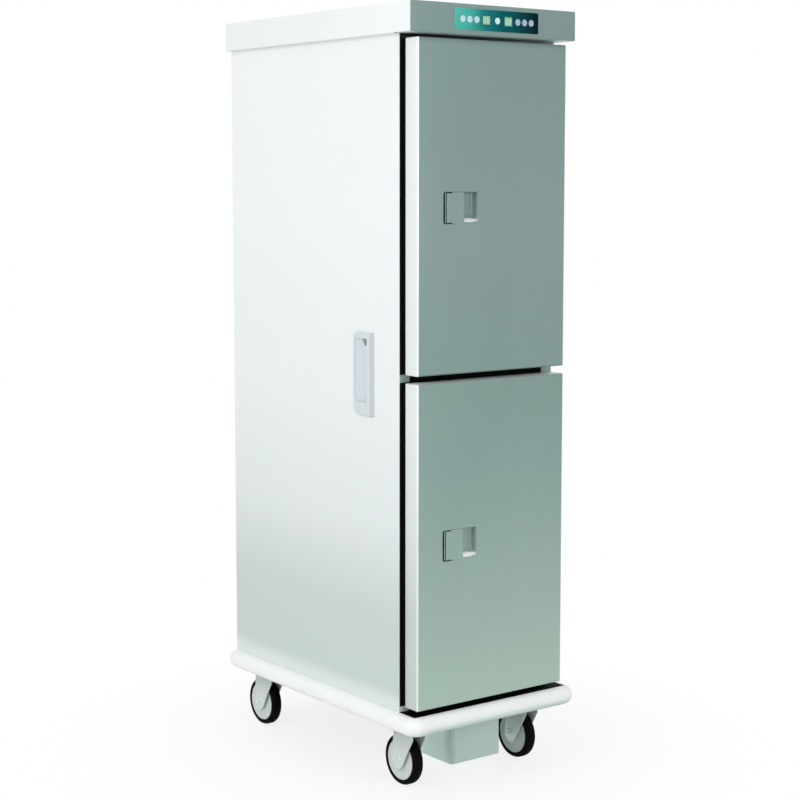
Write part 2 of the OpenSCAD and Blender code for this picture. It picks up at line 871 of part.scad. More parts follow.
// Clevis on the front frame with the hinge pin fixed in its two ears
module hinge_bracket() {
    ear_z = barrel_h / 2 + pass;
    left = -4.5;
    for (z = [ear_z, -ear_z - ear_t]) {
        translate([0, 0, z]) {
            cylinder(r = ear_r, h = ear_t);
            box([left, 0, 0], [ear_r, ear_reach, ear_t]);
        }
    }
    box([left, ear_reach - foot_t, -ear_z - ear_t], [ear_r, ear_reach, ear_z + ear_t]);
    cylinder(r = pin_r, h = 2 * (ear_z + ear_t), center = true);
}

module hinge_brackets() {
    color(dark_steel) cabinet() for (z = [lower_door_z, upper_door_z]) at_hinges(z) hinge_bracket();
}

module latch_housing(z) {
    half = latch_h / 2;
    inner = half - latch_wall;
    color(steel) cabinet() at_latch(z) {
        difference() {
            box([0, 0, -half], [latch_w, latch_d, half]);
            box([latch_wall - 0.5, -cut, -inner], [paddle_reach + 1, paddle_t + 1, inner]);
            box([latch_wall - 0.5, 0, -inner], [pivot_x + knuckle_r + 1, 2 * knuckle_r + 0.5, inner]);
            translate([paddle_reach - 26, 0, 0]) rotate([90, 0, 90])
                linear_extrude(latch_w - latch_wall - paddle_reach + 26) polygon([
                    [-cut, -inner], [0, -inner], [recess_d, -inner + recess_slope],
                    [recess_d, inner], [-cut, inner]
                ]);
            box([pivot_x - 2, 0, -bolt_h / 2], [window_x, latch_d + cut, bolt_h / 2]);
        }
        translate([pivot_x, pivot_y, -half]) cylinder(r = pivot_r, h = latch_h);
    }
}

module latch_paddle(z) {
    half = latch_h / 2 - latch_wall - paddle_gap;
    color(steel) cabinet() at_latch(z) difference() {
        union() {
            translate([pivot_x, pivot_y, -half]) cylinder(r = knuckle_r, h = 2 * half);
            box([pivot_x, 0, -half], [paddle_reach, paddle_t, half]);
            box([pivot_x, pivot_y, -6], [pivot_x + arm_w, arm_tip, 6]);
        }
        translate([pivot_x, pivot_y, -half - cut])
            cylinder(r = pivot_r + run_clear, h = 2 * half + 2 * cut);
    }
}

module latch_bolt(z) {
    half = bolt_h / 2;
    color(dark_steel) cabinet() at_latch(z) {
        box([foot_x, bolt_y, -half], [lug_x + arm_w, bolt_y + bolt_t, half]);
        box([lug_x, bolt_y - 6, -6], [lug_x + arm_w, bolt_y + cut, 6]);
        box([foot_x, bolt_y, -half], [foot_x + foot_w, nose_y + nose_t, half]);
        box([foot_x - nose_len, nose_y, -half], [foot_x + foot_w, nose_y + nose_t, half]);
    }
}

// A hooked plate on the front frame; the bolt's nose runs in behind its lip
module door_keeper() {
    lip_end = foot_x - nose_len - nose_gap;
    lip_y = nose_y - keeper_t - 1;
    frame_y = door_t + seal_gap;
    wall_x = lip_end - keeper_side;
    box([wall_x, frame_y - keeper_t, -keeper_h / 2],
        [foot_x + foot_w + 3, frame_y, keeper_h / 2]);
    box([wall_x, lip_y, -keeper_h / 2], [wall_x + keeper_t, frame_y, keeper_h / 2]);
    box([wall_x, lip_y, -keeper_h / 2], [lip_end, lip_y + keeper_t, keeper_h / 2]);
}

module door_keepers() {
    color(dark_steel) cabinet() for (z = [lower_door_z, upper_door_z]) at_latch(z) door_keeper();
}

// Casters

module caster_plate() {
    plate_w = 85;
    plate_l = 100;
    hole_x = 60;
    hole_y = 80;
    translate([0, 0, caster_h - plate_t]) {
        difference() {
            translate([-plate_w / 2, -plate_l / 2, 0]) linear_extrude(plate_t)
                rounded(plate_w, plate_l, 8);
            for (x = [-hole_x / 2, hole_x / 2], y = [-hole_y / 2, hole_y / 2]) {
                translate([x, y, -cut]) cylinder(r = 4.5, h = plate_t + 2 * cut);
            }
        }
        translate([0, 0, -race_h]) cylinder(r = crown_r + 1, h = race_h);
        translate([0, 0, -race_h - pass - crown_h - pass - nut_h])
            cylinder(r = 10, h = nut_h, $fn = 6);
        translate([0, 0, -race_h - crown_h - 2 * pass - nut_h])
            cylinder(r = king_r, h = race_h + crown_h + 2 * pass + nut_h);
    }
}

module caster_plates() {
    color(steel) for (x = [-caster_x / 2, caster_x / 2], y = [-caster_y / 2, caster_y / 2]) {
        translate([x, y, 0]) caster_plate();
    }
}

// Tangent point on the leg's round end, seen from a corner of the crown. side is 1 or -1.
function tangent_point(corner, centre, r, side) =
    let (d = corner - centre, len = norm(d), a = atan2(d[1], d[0]) + side * acos(r / len))
    centre + r * [cos(a), sin(a)];

// Side view of a fork leg: first axis y, second axis z
module leg_outline() {
    axle = [trail, wheel_r];
    top = crown_z;
    reach = crown_r - 3;
    front = [-reach, top - fork_edge];
    rear = [reach + fork_heel, top - 10];
    polygon([
        [-reach, top], front, tangent_point(front, axle, fork_r, 1), axle,
        tangent_point(rear, axle, fork_r, -1), rear, [reach, top]
    ]);
    translate(axle) circle(fork_r);
}

module fork() {
    half = fork_gap / 2;
    difference() {
        union() {
            translate([0, 0, crown_z - crown_h]) cylinder(r = crown_r, h = crown_h);
            box([-half - fork_t, -crown_r + 3, crown_z - 4], [half + fork_t, crown_r - 3, crown_z]);
            for (x = [-half - fork_t, half]) {
                translate([x, 0, 0]) rotate([90, 0, 90]) linear_extrude(fork_t) leg_outline();
            }
        }
        cylinder(r = king_r + run_clear, h = 2 * crown_z);
    }
    translate([0, trail, wheel_r]) {
        rod_x(axle_r, -half - fork_t, half + fork_t);
        for (x = [-half - fork_t - 4, half + fork_t]) rod_x(7, x, x + 4);
    }
}

module hub() {
    face = fork_gap / 2 - pass;
    rim = tyre_w / 2 - 2;
    disc = rim - 1.5;
    translate([0, trail, wheel_r]) rotate([90, 0, 90]) rotate_extrude() polygon([
        [axle_r + run_clear, -face], [12, -face], [12, -disc], [rim_r - 6, -disc], [rim_r - 6, -rim],
        [rim_r, -rim], [rim_r, rim], [rim_r - 6, rim], [rim_r - 6, disc], [12, disc], [12, face],
        [axle_r + run_clear, face]
    ]);
}

module tyre() {
    half = tyre_w / 2;
    translate([0, trail, wheel_r]) rotate([90, 0, 90]) rotate_extrude() difference() {
        translate([rim_r, -half]) square([wheel_r - rim_r, tyre_w]);
        translate([wheel_r, -half]) mirror([1, 0]) corner_waste(shoulder_r);
        translate([wheel_r, half]) mirror([1, 1]) corner_waste(shoulder_r);
    }
}

// Puts a caster piece at a corner: sx is -1 at the left and 1 at the right, sy -1 at the front
module at_caster(sx, sy) translate([sx * caster_x / 2, sy * caster_y / 2, 0]) children();

module fork_at(sx, sy) color([0.78, 0.80, 0.80]) at_caster(sx, sy) fork();
module hub_at(sx, sy) color([0.74, 0.77, 0.76]) at_caster(sx, sy) hub();
module tyre_at(sx, sy) color(black_rubber) at_caster(sx, sy) tyre();

left_side_panel();
right_side_panel();
rear_panel();
roof_panel();
front_frame();
liner(upper_cell_z, upper_mid_z);  // upper_liner
liner(lower_cell_z, lower_mid_z);  // lower_liner
wall_insulation();
chassis();
bumper();
top_cover();
control_panel();
circuit_boards();
fan_motors();
heating_elements();
air_baffles();
tray_runners();
push_handles();
electrics_box();
cable_gland();
hinge_brackets();
door_keepers();
caster_plates();
for (i = [1:7]) button(i);
fan_wheel(upper_mid_z);  // upper_fan_wheel
fan_wheel(lower_mid_z);  // lower_fan_wheel
door_skin(upper_door_z);  // upper_door_skin
door_panel(upper_door_z);  // upper_door_panel
door_core(upper_door_z);  // upper_door_core
door_gasket(upper_door_z);  // upper_door_gasket
door_hinges(upper_door_z);  // upper_door_hinges
latch_housing(upper_door_z);  // upper_latch_housing
latch_paddle(upper_door_z);  // upper_latch_paddle
latch_bolt(upper_door_z);  // upper_latch_bolt
door_skin(lower_door_z);  // lower_door_skin
door_panel(lower_door_z);  // lower_door_panel
door_core(lower_door_z);  // lower_door_core
door_gasket(lower_door_z);  // lower_door_gasket
door_hinges(lower_door_z);  // lower_door_hinges
latch_housing(lower_door_z);  // lower_latch_housing
latch_paddle(lower_door_z);  // lower_latch_paddle
latch_bolt(lower_door_z);  // lower_latch_bolt
fork_at(-1, -1);  // front_left_fork
hub_at(-1, -1);  // front_left_hub
tyre_at(-1, -1);  // front_left_tyre
fork_at(1, -1);  // front_right_fork
hub_at(1, -1);  // front_right_hub
tyre_at(1, -1);  // front_right_tyre
fork_at(-1, 1);  // rear_left_fork
hub_at(-1, 1);  // rear_left_hub
tyre_at(-1, 1);  // rear_left_tyre
fork_at(1, 1);  // rear_right_fork
hub_at(1, 1);  // rear_right_hub
tyre_at(1, 1);  // rear_right_tyre
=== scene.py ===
import math

import bmesh
import bpy
from mathutils import Matrix, Vector

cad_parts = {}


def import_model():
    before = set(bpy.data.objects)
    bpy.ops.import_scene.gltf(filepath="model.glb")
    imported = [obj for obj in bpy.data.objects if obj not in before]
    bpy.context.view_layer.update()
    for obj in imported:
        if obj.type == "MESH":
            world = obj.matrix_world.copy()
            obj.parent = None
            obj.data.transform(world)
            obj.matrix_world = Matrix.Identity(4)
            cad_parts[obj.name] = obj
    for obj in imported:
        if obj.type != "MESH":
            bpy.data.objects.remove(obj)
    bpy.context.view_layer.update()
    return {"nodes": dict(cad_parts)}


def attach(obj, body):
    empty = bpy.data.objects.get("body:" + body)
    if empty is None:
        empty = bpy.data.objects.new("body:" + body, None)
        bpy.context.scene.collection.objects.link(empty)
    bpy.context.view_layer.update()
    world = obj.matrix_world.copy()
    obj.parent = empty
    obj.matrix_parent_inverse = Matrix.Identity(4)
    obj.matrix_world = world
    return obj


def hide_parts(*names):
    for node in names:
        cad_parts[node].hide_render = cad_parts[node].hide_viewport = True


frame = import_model()
NODES = frame["nodes"]

MM = 0.001
SIDES = ("upper", "lower")
CORNERS = {"front_left": (-1, -1), "front_right": (1, -1), "rear_left": (-1, 1), "rear_right": (1, 1)}

# Sizes in mm, as in part.scad: x from the left side, y from the front frame, z from the floor
BODY_W = 455.0
BODY_D = 705.0
SHIFT_Y = -323.5
BODY_Z = 194.0
CELL_X = 55.0
CELL_D = 636.0
CELL_EDGE = 25.0
DOOR_X = 6.0
DOOR_W = 435.0
DOOR_H = 748.5
DOOR_T = 46.0
SEAL = 14.0
DOOR_Z = {"upper": 973.5, "lower": 207.0}
DOOR_Y = -SEAL - DOOR_T
LATCH_X = 72.0
LATCH_W = 99.0
LATCH_H = 72.0
PIVOT = (8.0, 3.0)
CAP_Z = 1732.0
CAP_H = 68.0
CAP_Y = -59.0
CAP_SIDE = 14.0
CAP_REAR = 4.0
PANEL_X = 230.5
KEY_X = (-100, -80, -60, 0, 60, 80, 100)
CASTER_X = 172.5
CASTER_Y = 301.0
TRAIL = 32.0
WHEEL_R = 60.0
FORK_HALF = 20.0
SHEET = 1.2
OBJECT_H = CAP_Z + CAP_H
BUMPER_Z = (150.0, 194.0)
PANEL_W = 245.0
PANEL_H = 47.0
PANEL_Z = CAP_Z + CAP_H / 2
DISPLAY_X = (-32, 32)


def at(x, y, z):
    """A point of the cabinet, in mm, as a point of the row frame, in metres."""
    return Vector(((x - BODY_W / 2) * MM, (y + SHIFT_Y) * MM, z * MM))


# Material helpers

def new_mat(name, base, rough, metal=0.0, coat=0.0):
    """A material with its node tree and its shader."""
    mat = bpy.data.materials.new(name)
    mat.use_nodes = True
    bsdf = mat.node_tree.nodes["Principled BSDF"]
    bsdf.inputs["Base Color"].default_value = (*base, 1)
    bsdf.inputs["Roughness"].default_value = rough
    bsdf.inputs["Metallic"].default_value = metal
    bsdf.inputs["Coat Weight"].default_value = coat
    bsdf.inputs["Coat Roughness"].default_value = 0.06
    return mat, mat.node_tree, bsdf


def coords(nt, scale):
    """Object coordinates in metres, times scale along each axis."""
    tex = nt.nodes.new("ShaderNodeTexCoord")
    mapping = nt.nodes.new("ShaderNodeMapping")
    mapping.inputs["Scale"].default_value = scale
    nt.links.new(tex.outputs["Object"], mapping.inputs["Vector"])
    return mapping.outputs["Vector"]


def place(nt, axis):
    """The object coordinate along one axis, in metres."""
    tex = nt.nodes.new("ShaderNodeTexCoord")
    split = nt.nodes.new("ShaderNodeSeparateXYZ")
    nt.links.new(tex.outputs["Object"], split.inputs[0])
    return split.outputs[axis]


def noise(nt, scale, detail, rough=0.5):
    """Noise with about scale waves in a metre along each axis."""
    node = nt.nodes.new("ShaderNodeTexNoise")
    node.inputs["Scale"].default_value = 1.0
    node.inputs["Detail"].default_value = detail
    node.inputs["Roughness"].default_value = rough
    nt.links.new(coords(nt, scale), node.inputs["Vector"])
    return node.outputs["Fac"]


def ramp(nt, fac, stops):
    """Colours by position. stops are (position, (r, g, b))."""
    node = nt.nodes.new("ShaderNodeValToRGB")
    els = node.color_ramp.elements
    while len(els) < len(stops):
        els.new(0.5)
    for el, (pos, col) in zip(els, stops):
        el.position = pos
        el.color = (*col, 1)
    nt.links.new(fac, node.inputs["Fac"])
    return node.outputs["Color"]


def span(nt, value, lo, hi, start=0.3, end=0.7, smooth=False):
    """Maps value from start..end to lo..hi."""
    node = nt.nodes.new("ShaderNodeMapRange")
    if smooth:
        node.interpolation_type = "SMOOTHSTEP"
    node.inputs["From Min"].default_value = start
    node.inputs["From Max"].default_value = end
    node.inputs["To Min"].default_value = lo
    node.inputs["To Max"].default_value = hi
    nt.links.new(value, node.inputs["Value"])
    return node.outputs["Result"]


def math_node(nt, operation, a, b):
    """Sum, product or maximum of two values."""
    node = nt.nodes.new("ShaderNodeMath")
    node.operation = operation
    nt.links.new(a, node.inputs[0])
    nt.links.new(b, node.inputs[1])
    return node.outputs[0]


def times(nt, a, b):
    """Product of two colours."""
    node = nt.nodes.new("ShaderNodeMix")
    node.data_type = "RGBA"
    node.blend_type = "MULTIPLY"
    node.inputs[0].default_value = 1.0
    nt.links.new(a, node.inputs[6])
    nt.links.new(b, node.inputs[7])
    return node.outputs[2]


def bump(nt, bsdf, height, strength, dist=0.0002):
    """Bump by height on the shader, dist metres deep at full strength."""
    node = nt.nodes.new("ShaderNodeBump")
    node.inputs["Strength"].default_value = strength
    node.inputs["Distance"].default_value = dist
    nt.links.new(height, node.inputs["Height"])
    nt.links.new(node.outputs["Normal"], bsdf.inputs["Normal"])


def tint(mat, axis, lo, hi, stops):
    """Multiplies a material's base colour by tones along one axis, between lo and hi in metres."""
    nt = mat.node_tree
    base = nt.nodes["Principled BSDF"].inputs["Base Color"]
    tones = ramp(nt, span(nt, place(nt, axis), 0.0, 1.0, lo, hi), stops)
    nt.links.new(times(nt, base.links[0].from_socket, tones), base)


def shade(colour, k):
    """The colour times k, with no part above 1."""
    return tuple(min(1.0, v * k) for v in colour)


def shaded(tones, k):
    """Tones by height, each darkened or lightened by k."""
    return [(z, shade(colour, k)) for z, colour in tones]


def grey(v):
    """The grey with all parts at v."""
    return (v, v, v)


# Materials

def steel(name, tones, rough, metal, grain=(900, 900, 6), depth=0.10, wobble=0.04):
    """Brushed sheet: streaks along the grain, faint handling marks, and tones by height above the floor,
    which carry painted shade and light.
    """
    base = tones[0][1]
    mat, nt, bsdf = new_mat(name, base, rough, metal)
    fine = noise(nt, grain, 4.0, 0.6)
    marks = noise(nt, (26, 26, 20), 5.0, 0.62)
    slow = noise(nt, (2.4, 2.4, 1.6), 3.0)
    if len(tones) > 1:
        height = OBJECT_H * MM
        colour = ramp(nt, span(nt, place(nt, 2), 0.0, 1.0, 0.0, height), [(z / height, c) for z, c in tones])
    else:
        colour = ramp(nt, slow, [(0.3, shade(base, 0.97)), (0.7, shade(base, 1.03))])
    streaks = ramp(nt, fine, [(0.30, grey(1 - wobble)), (0.70, grey(1.0))])
    cast = ramp(nt, slow, [(0.30, (0.975, 0.985, 0.99)), (0.72, (1.0, 1.0, 0.995))])
    nt.links.new(times(nt, times(nt, colour, streaks), cast), bsdf.inputs["Base Color"])
    gloss = math_node(nt, "ADD", span(nt, fine, rough - 0.05, rough + 0.06), span(nt, marks, -0.03, 0.05))
    nt.links.new(gloss, bsdf.inputs["Roughness"])
    bump(nt, bsdf, fine, depth)
    return mat


def plastic(name, base, rough, grain, depth, vary, coat=0.0, gloss=0.5):
    """Moulded surface: fine pebble grain, slight tone and gloss changes."""
    mat, nt, bsdf = new_mat(name, base, rough, 0.0, coat)
    bsdf.inputs["Specular IOR Level"].default_value = gloss
    pebble = noise(nt, (grain, grain, grain), 2.0)
    slow = noise(nt, (9, 9, 9), 4.0, 0.55)
    nt.links.new(ramp(nt, slow, [(0.3, shade(base, 1 - vary)), (0.7, shade(base, 1 + vary))]),
                 bsdf.inputs["Base Color"])
    nt.links.new(span(nt, slow, rough - 0.05, rough + 0.07), bsdf.inputs["Roughness"])
    bump(nt, bsdf, pebble, depth)
    return mat


def bumper_mat():
    """White moulding with painted shade on its lower half all round, except along the left side."""
    mat = plastic("white_bumper", (0.90, 0.915, 0.92), 0.38, 1100, 0.10, 0.02)
    nt = mat.node_tree
    base = nt.nodes["Principled BSDF"].inputs["Base Color"]
    foot, top = (z * MM for z in BUMPER_Z)
    tones = ramp(nt, span(nt, place(nt, 2), 0.0, 1.0, foot, top),
                 [(0.0, (0.40, 0.50, 0.48)), (0.22, (0.60, 0.72, 0.69)), (0.48, (0.93, 0.98, 0.97)),
                  (0.62, grey(1.0))])
    mix = nt.nodes.new("ShaderNodeMix")
    mix.data_type = "RGBA"
    left_edge, left_end = -0.248, -0.200
    nt.links.new(span(nt, place(nt, 0), 0.0, 1.0, left_edge, left_end), mix.inputs[0])
    mix.inputs[6].default_value = (1, 1, 1, 1)
    nt.links.new(tones, mix.inputs[7])
    nt.links.new(times(nt, base.links[0].from_socket, mix.outputs[2]), base)
    return mat


def tyre_mat():
    """Black rubber with fine rings round the tread and dust in patches."""
    mat, nt, bsdf = new_mat("tyre_rubber", grey(0.003), 0.8)
    bsdf.inputs["Specular IOR Level"].default_value = 0.03
    dust = noise(nt, (40, 40, 40), 5.0, 0.65)
    nt.links.new(ramp(nt, dust, [(0.35, grey(0.002)), (0.8, grey(0.006))]), bsdf.inputs["Base Color"])
    nt.links.new(span(nt, dust, 0.55, 0.75), bsdf.inputs["Roughness"])
    bump(nt, bsdf, noise(nt, (700, 8, 8), 2.0), 0.15, 0.0003)
    return mat


def panel_mat():
    """Membrane coloured from pale turquoise at the left to deep navy at the right, lighter toward its top as
    a painted highlight, with a fine texture.
    """
    mat, nt, bsdf = new_mat("panel_membrane", (0.0, 0.2, 0.22), 0.5)
    bsdf.inputs["Specular IOR Level"].default_value = 0.04
    left, right = (at(PANEL_X + dx, 0, 0).x for dx in (-PANEL_W / 2, PANEL_W / 2))
    across = span(nt, place(nt, 0), 0.0, 1.0, left, right)
    colour = ramp(nt, across, PANEL_TONES)
    # Painted highlight: the colour lightens toward the panel's top.
    foot, top = (CAP_Z + 16) * MM, (CAP_Z + CAP_H - 12) * MM
    upward = span(nt, place(nt, 2), 0.0, 1.0, foot, top)
    painted_top_light = ramp(nt, upward, [(0.0, (0.82, 0.95, 0.92)), (0.6, (0.95, 0.97, 0.97)), (1.0, grey(1.0))])
    cloud = ramp(nt, noise(nt, (40, 40, 40), 2.0), [(0.3, (0.9, 0.93, 0.95)), (0.7, grey(1.0))])
    nt.links.new(times(nt, times(nt, colour, painted_top_light), cloud), bsdf.inputs["Base Color"])
    bump(nt, bsdf, noise(nt, (900, 900, 900), 1.0), 0.04)
    return mat


def display_mat():
    """Lit display: green ground broken into fine cells, with a faint glow."""
    mat, nt, bsdf = new_mat("display_glass", (0.36, 0.62, 0.34), 0.35, 0.0, 0.1)
    cells = nt.nodes.new("ShaderNodeTexVoronoi")
    cells.inputs["Scale"].default_value = 1.0
    nt.links.new(coords(nt, (900, 900, 900)), cells.inputs["Vector"])
    nt.links.new(ramp(nt, cells.outputs["Distance"], [(0.0, (0.29, 0.57, 0.33)), (1.0, (0.19, 0.43, 0.29))]),
                 bsdf.inputs["Base Color"])
    bsdf.inputs["Specular IOR Level"].default_value = 0.2
    bsdf.inputs["Emission Color"].default_value = (0.32, 0.64, 0.40, 1)
    bsdf.inputs["Emission Strength"].default_value = 0.06
    return mat


def key_mat(name, dark, pale, glow):
    """Glossy plastic, cloudy between two tones, with a faint glow in the paler one."""
    mat, nt, bsdf = new_mat(name, pale, 0.28, 0.0, 0.4)
    cloud = noise(nt, (260, 260, 260), 2.0)
    nt.links.new(ramp(nt, cloud, [(0.25, dark), (0.7, pale)]), bsdf.inputs["Base Color"])
    bsdf.inputs["Emission Color"].default_value = (*pale, 1)
    bsdf.inputs["Emission Strength"].default_value = glow
    return mat


# Tones of the sheets by height in metres, with shade painted in: the doors lighten downward and the side
# sheets darken.
# The fronts are painted darker than the sides of the same folded sheets, as shade, with a painted shadow
# just under the cover; the side has painted light at its foot, beside the white bumper.
FRONT_SHADED_TONES = [(0.20, (0.408, 0.544, 0.462)), (0.40, (0.350, 0.472, 0.420)), (0.58, (0.301, 0.420, 0.378)),
               (0.76, (0.264, 0.372, 0.350)), (0.95, (0.238, 0.342, 0.318)), (1.30, (0.252, 0.347, 0.345)),
               (1.709, (0.221, 0.316, 0.303))]
UNDER_COVER_SHADOW = [(1.716, (0.188, 0.269, 0.258)), (1.722, (0.148, 0.212, 0.203)),
               (1.731, (0.221, 0.316, 0.303))]
SIDE_SHADED_TONES = [(0.24, (0.59, 0.67, 0.645)), (0.42, (0.61, 0.68, 0.65)), (0.62, (0.78, 0.825, 0.825)),
              (0.90, (0.855, 0.90, 0.895)), (1.30, (0.88, 0.92, 0.925)), (1.70, (0.885, 0.915, 0.915)),
              (1.78, (0.84, 0.88, 0.87))]
SIDE_FOOT_LIGHT = [(0.20, (0.76, 0.82, 0.81)), (0.216, (0.72, 0.78, 0.77))]
BEND_HIGHLIGHT_TONES = [(0.20, (0.80, 0.88, 0.83)), (0.60, (0.79, 0.85, 0.83)), (0.87, (0.90, 0.97, 0.95)),
              (1.72, (0.90, 0.95, 0.95))]

# Tones of the control panel, from its left end to its right end
PANEL_TONES = [(0.0, (0.13, 0.56, 0.47)), (0.16, (0.07, 0.50, 0.42)), (0.36, (0.012, 0.22, 0.23)),
               (0.55, (0.001, 0.12, 0.14)), (0.78, (0.0, 0.065, 0.07)), (1.0, (0.0, 0.006, 0.014))]

M = {}
# The fronts, with painted shade by height and a painted shadow just under the cover.
M["front"] = steel("brushed_front", FRONT_SHADED_TONES + UNDER_COVER_SHADOW, 0.40, 0.45)
# Dark grey that paints the shade in the gap round the paddle's hinge edge and at the recess's lower left.
M["slot"] = plastic("slot_shade", (0.045, 0.066, 0.062), 0.6, 900, 0.15, 0.1, gloss=0.1)
# The latch recess: the front tones a little darker, as painted shade.
M["recess"] = steel("latch_recess_shaded", shaded(FRONT_SHADED_TONES, 0.95), 0.44, 0.4)
# Painted highlight on the latch recess's floor, and a dimmer ring of painted highlight round it.
M["glint"] = steel("latch_floor", shaded(FRONT_SHADED_TONES, 4.0), 0.34, 0.2)
M["glow"] = steel("latch_floor_edge", shaded(FRONT_SHADED_TONES, 1.4), 0.4, 0.4)
M["side"] = steel("satin_side", SIDE_FOOT_LIGHT + SIDE_SHADED_TONES, 0.52, 0.25, depth=0.05, wobble=0.015)
M["edge"] = steel("satin_edge", shaded(SIDE_SHADED_TONES, 0.94), 0.38, 0.35, depth=0.05, wobble=0.015)
# Painted highlight on the doors' rounded left bends.
M["bend"] = steel("bend_side", BEND_HIGHLIGHT_TONES, 0.38, 0.3, depth=0.05, wobble=0.015)
# Painted shade on the upper door's top and bottom bends.
M["bend_dark"] = steel("bend_top", shaded(FRONT_SHADED_TONES, 0.62), 0.44, 0.3)

# The strip between the upper door and the cover is painted with shade: black at its left end and lightening
# to the right
M["top_strip"] = steel("strip_under_cover", [(0, (0.30, 0.41, 0.39))], 0.42, 0.3)
tint(M["top_strip"], 0, at(75, 0, 0).x, at(420, 0, 0).x,
     [(0.0, grey(0.01)), (0.4, grey(0.14)), (0.7, grey(0.52)), (1.0, grey(1.0))])

# The cover's underside has painted shade, dark only next to the body
M["under"] = steel("cover_underside", [(0, (0.78, 0.83, 0.82))], 0.46, 0.3)
tint(M["under"], 1, at(0, CAP_Y, 0).y, at(0, 2, 0).y,
     [(0.0, (0.78, 0.86, 0.85)), (0.80, (0.70, 0.78, 0.77)), (0.93, (0.06, 0.07, 0.07)),
      (0.97, (0.06, 0.07, 0.07)), (1.0, grey(1.0))])

M["inner"] = steel("inner_sheet", [(0, (0.60, 0.62, 0.62))], 0.48, 0.55, (6, 900, 900))

# The box under the base has painted shade: its front is darkest at its left end, and it darkens toward its
# front and its top
M["box"] = steel("box_sheet_shaded", [(0, (0.74, 0.96, 0.88))], 0.42, 0.4)
tint(M["box"], 0, -0.0750, -0.0600,
     [(0.05, grey(1.0)), (0.10, grey(0.66)), (0.55, grey(0.68)), (0.90, grey(0.84))])
tint(M["box"], 1, at(0, 0, 0).y, at(0, 34, 0).y, [(0.0, grey(0.74)), (1.0, grey(1.0))])
tint(M["box"], 2, 0.120, 0.138, [(0.0, grey(1.0)), (1.0, grey(0.56))])

M["zinc"] = steel("zinc_plate", [(0, (0.66, 0.72, 0.70))], 0.42, 0.4, (60, 60, 60), 0.05)
# The fork is the zinc plate with painted shade toward its top, under the base.
M["fork"] = steel("fork_plate_shaded", [(0, (0.68, 0.74, 0.72))], 0.42, 0.4, (60, 60, 60), 0.05)
tint(M["fork"], 2, 0.060, 0.140, [(0.0, grey(1.0)), (0.35, grey(0.92)), (1.0, (0.70, 0.72, 0.72))])
M["bolt"] = steel("bolt_steel", [(0, (0.55, 0.57, 0.58))], 0.30, 0.85, (700, 700, 700), 0.08)
M["alu"] = steel("spun_aluminium", [(0, (0.70, 0.71, 0.72))], 0.32, 0.9, (900, 60, 900))
M["element"] = steel("heated_tube", [(0, (0.20, 0.16, 0.13))], 0.5, 0.8, (300, 300, 300), 0.1, 0.25)
M["motor"] = steel("motor_can", [(0, (0.20, 0.21, 0.22))], 0.45, 0.5, (500, 500, 500))
M["paint"] = plastic("black_coat", grey(0.004), 0.6, 900, 0.15, 0.2, gloss=0.04)
M["white"] = bumper_mat()
# The handle shell, and shaded copies of it for the front edge and the pocket floor: painted shade. The dark
# pocket_shade grey paints the shadow at the top of the pocket.
for key, name, tone in (("shell", "white_shell", (0.63, 0.69, 0.71)),
                        ("shell_front", "shell_front_edge_shaded", (0.52, 0.565, 0.565)),
                        ("shell_floor", "shell_pocket_floor_shaded", (0.62, 0.675, 0.72))):
    M[key] = plastic(name, tone, 0.45, 1300, 0.12, 0.02, gloss=0.3)
M["pocket"] = plastic("pocket_shade", (0.34, 0.38, 0.40), 0.5, 1300, 0.12, 0.04, gloss=0.3)
M["rubber"] = plastic("seal_rubber", grey(0.003), 0.7, 700, 0.2, 0.2, gloss=0.04)
M["black"] = plastic("black_nylon", (0.012, 0.012, 0.013), 0.5, 900, 0.15, 0.2)
M["nylon"] = plastic("pale_nylon", (0.62, 0.68, 0.66), 0.5, 900, 0.10, 0.03)
M["foam"] = plastic("foam", (0.80, 0.66, 0.36), 0.9, 500, 0.5, 0.08)
M["board"] = plastic("board_green", (0.01, 0.12, 0.05), 0.35, 800, 0.1, 0.15, 0.4)
M["bezel"] = plastic("bezel", (0.01, 0.13, 0.13), 0.45, 900, 0.05, 0.1, gloss=0.1)
M["tyre"] = tyre_mat()
M["panel"] = panel_mat()
M["display"] = display_mat()
M["digit"] = key_mat("digit_light", (0.52, 0.76, 0.62), (0.68, 0.88, 0.78), 0.05)
# On the keys the faint glow is painted light; on the digits it is the display's own light.
M["key_white"] = key_mat("key_white", (0.38, 0.66, 0.66), (0.60, 0.78, 0.82), 0.03)
M["key_rim"] = key_mat("key_rim", (0.10, 0.42, 0.40), (0.20, 0.56, 0.54), 0.0)
M["key_dark"] = key_mat("key_dark_rim", (0.01, 0.10, 0.13), (0.06, 0.16, 0.22), 0.0)
M["key_lav"] = key_mat("key_lavender", (0.24, 0.43, 0.53), (0.44, 0.49, 0.66), 0.03)
M["key_mid"] = key_mat("key_middle", (0.42, 0.76, 0.74), (0.68, 0.88, 0.88), 0.05)


# Mesh helpers

def scene_object(name, bm):
    """Puts bm into the scene as an object."""
    mesh = bpy.data.meshes.new(name)
    bm.to_mesh(mesh)
    bm.free()
    ob = bpy.data.objects.new(name, mesh)
    bpy.context.scene.collection.objects.link(ob)
    return ob


def finish_mesh(name, bm, mats, body, replaces=(), angle=32):
    """Turns bm into a piece that rides on body. mats are in the order of its material indices."""
    bmesh.ops.recalc_face_normals(bm, faces=bm.faces)
    ob = scene_object(name, bm)
    for mat in mats:
        ob.data.materials.append(mat)
    for poly in ob.data.polygons:
        poly.use_smooth = True
    ob.data.set_sharp_from_angle(angle=math.radians(angle))
    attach(ob, body)
    if replaces:
        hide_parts(*replaces)
    return ob


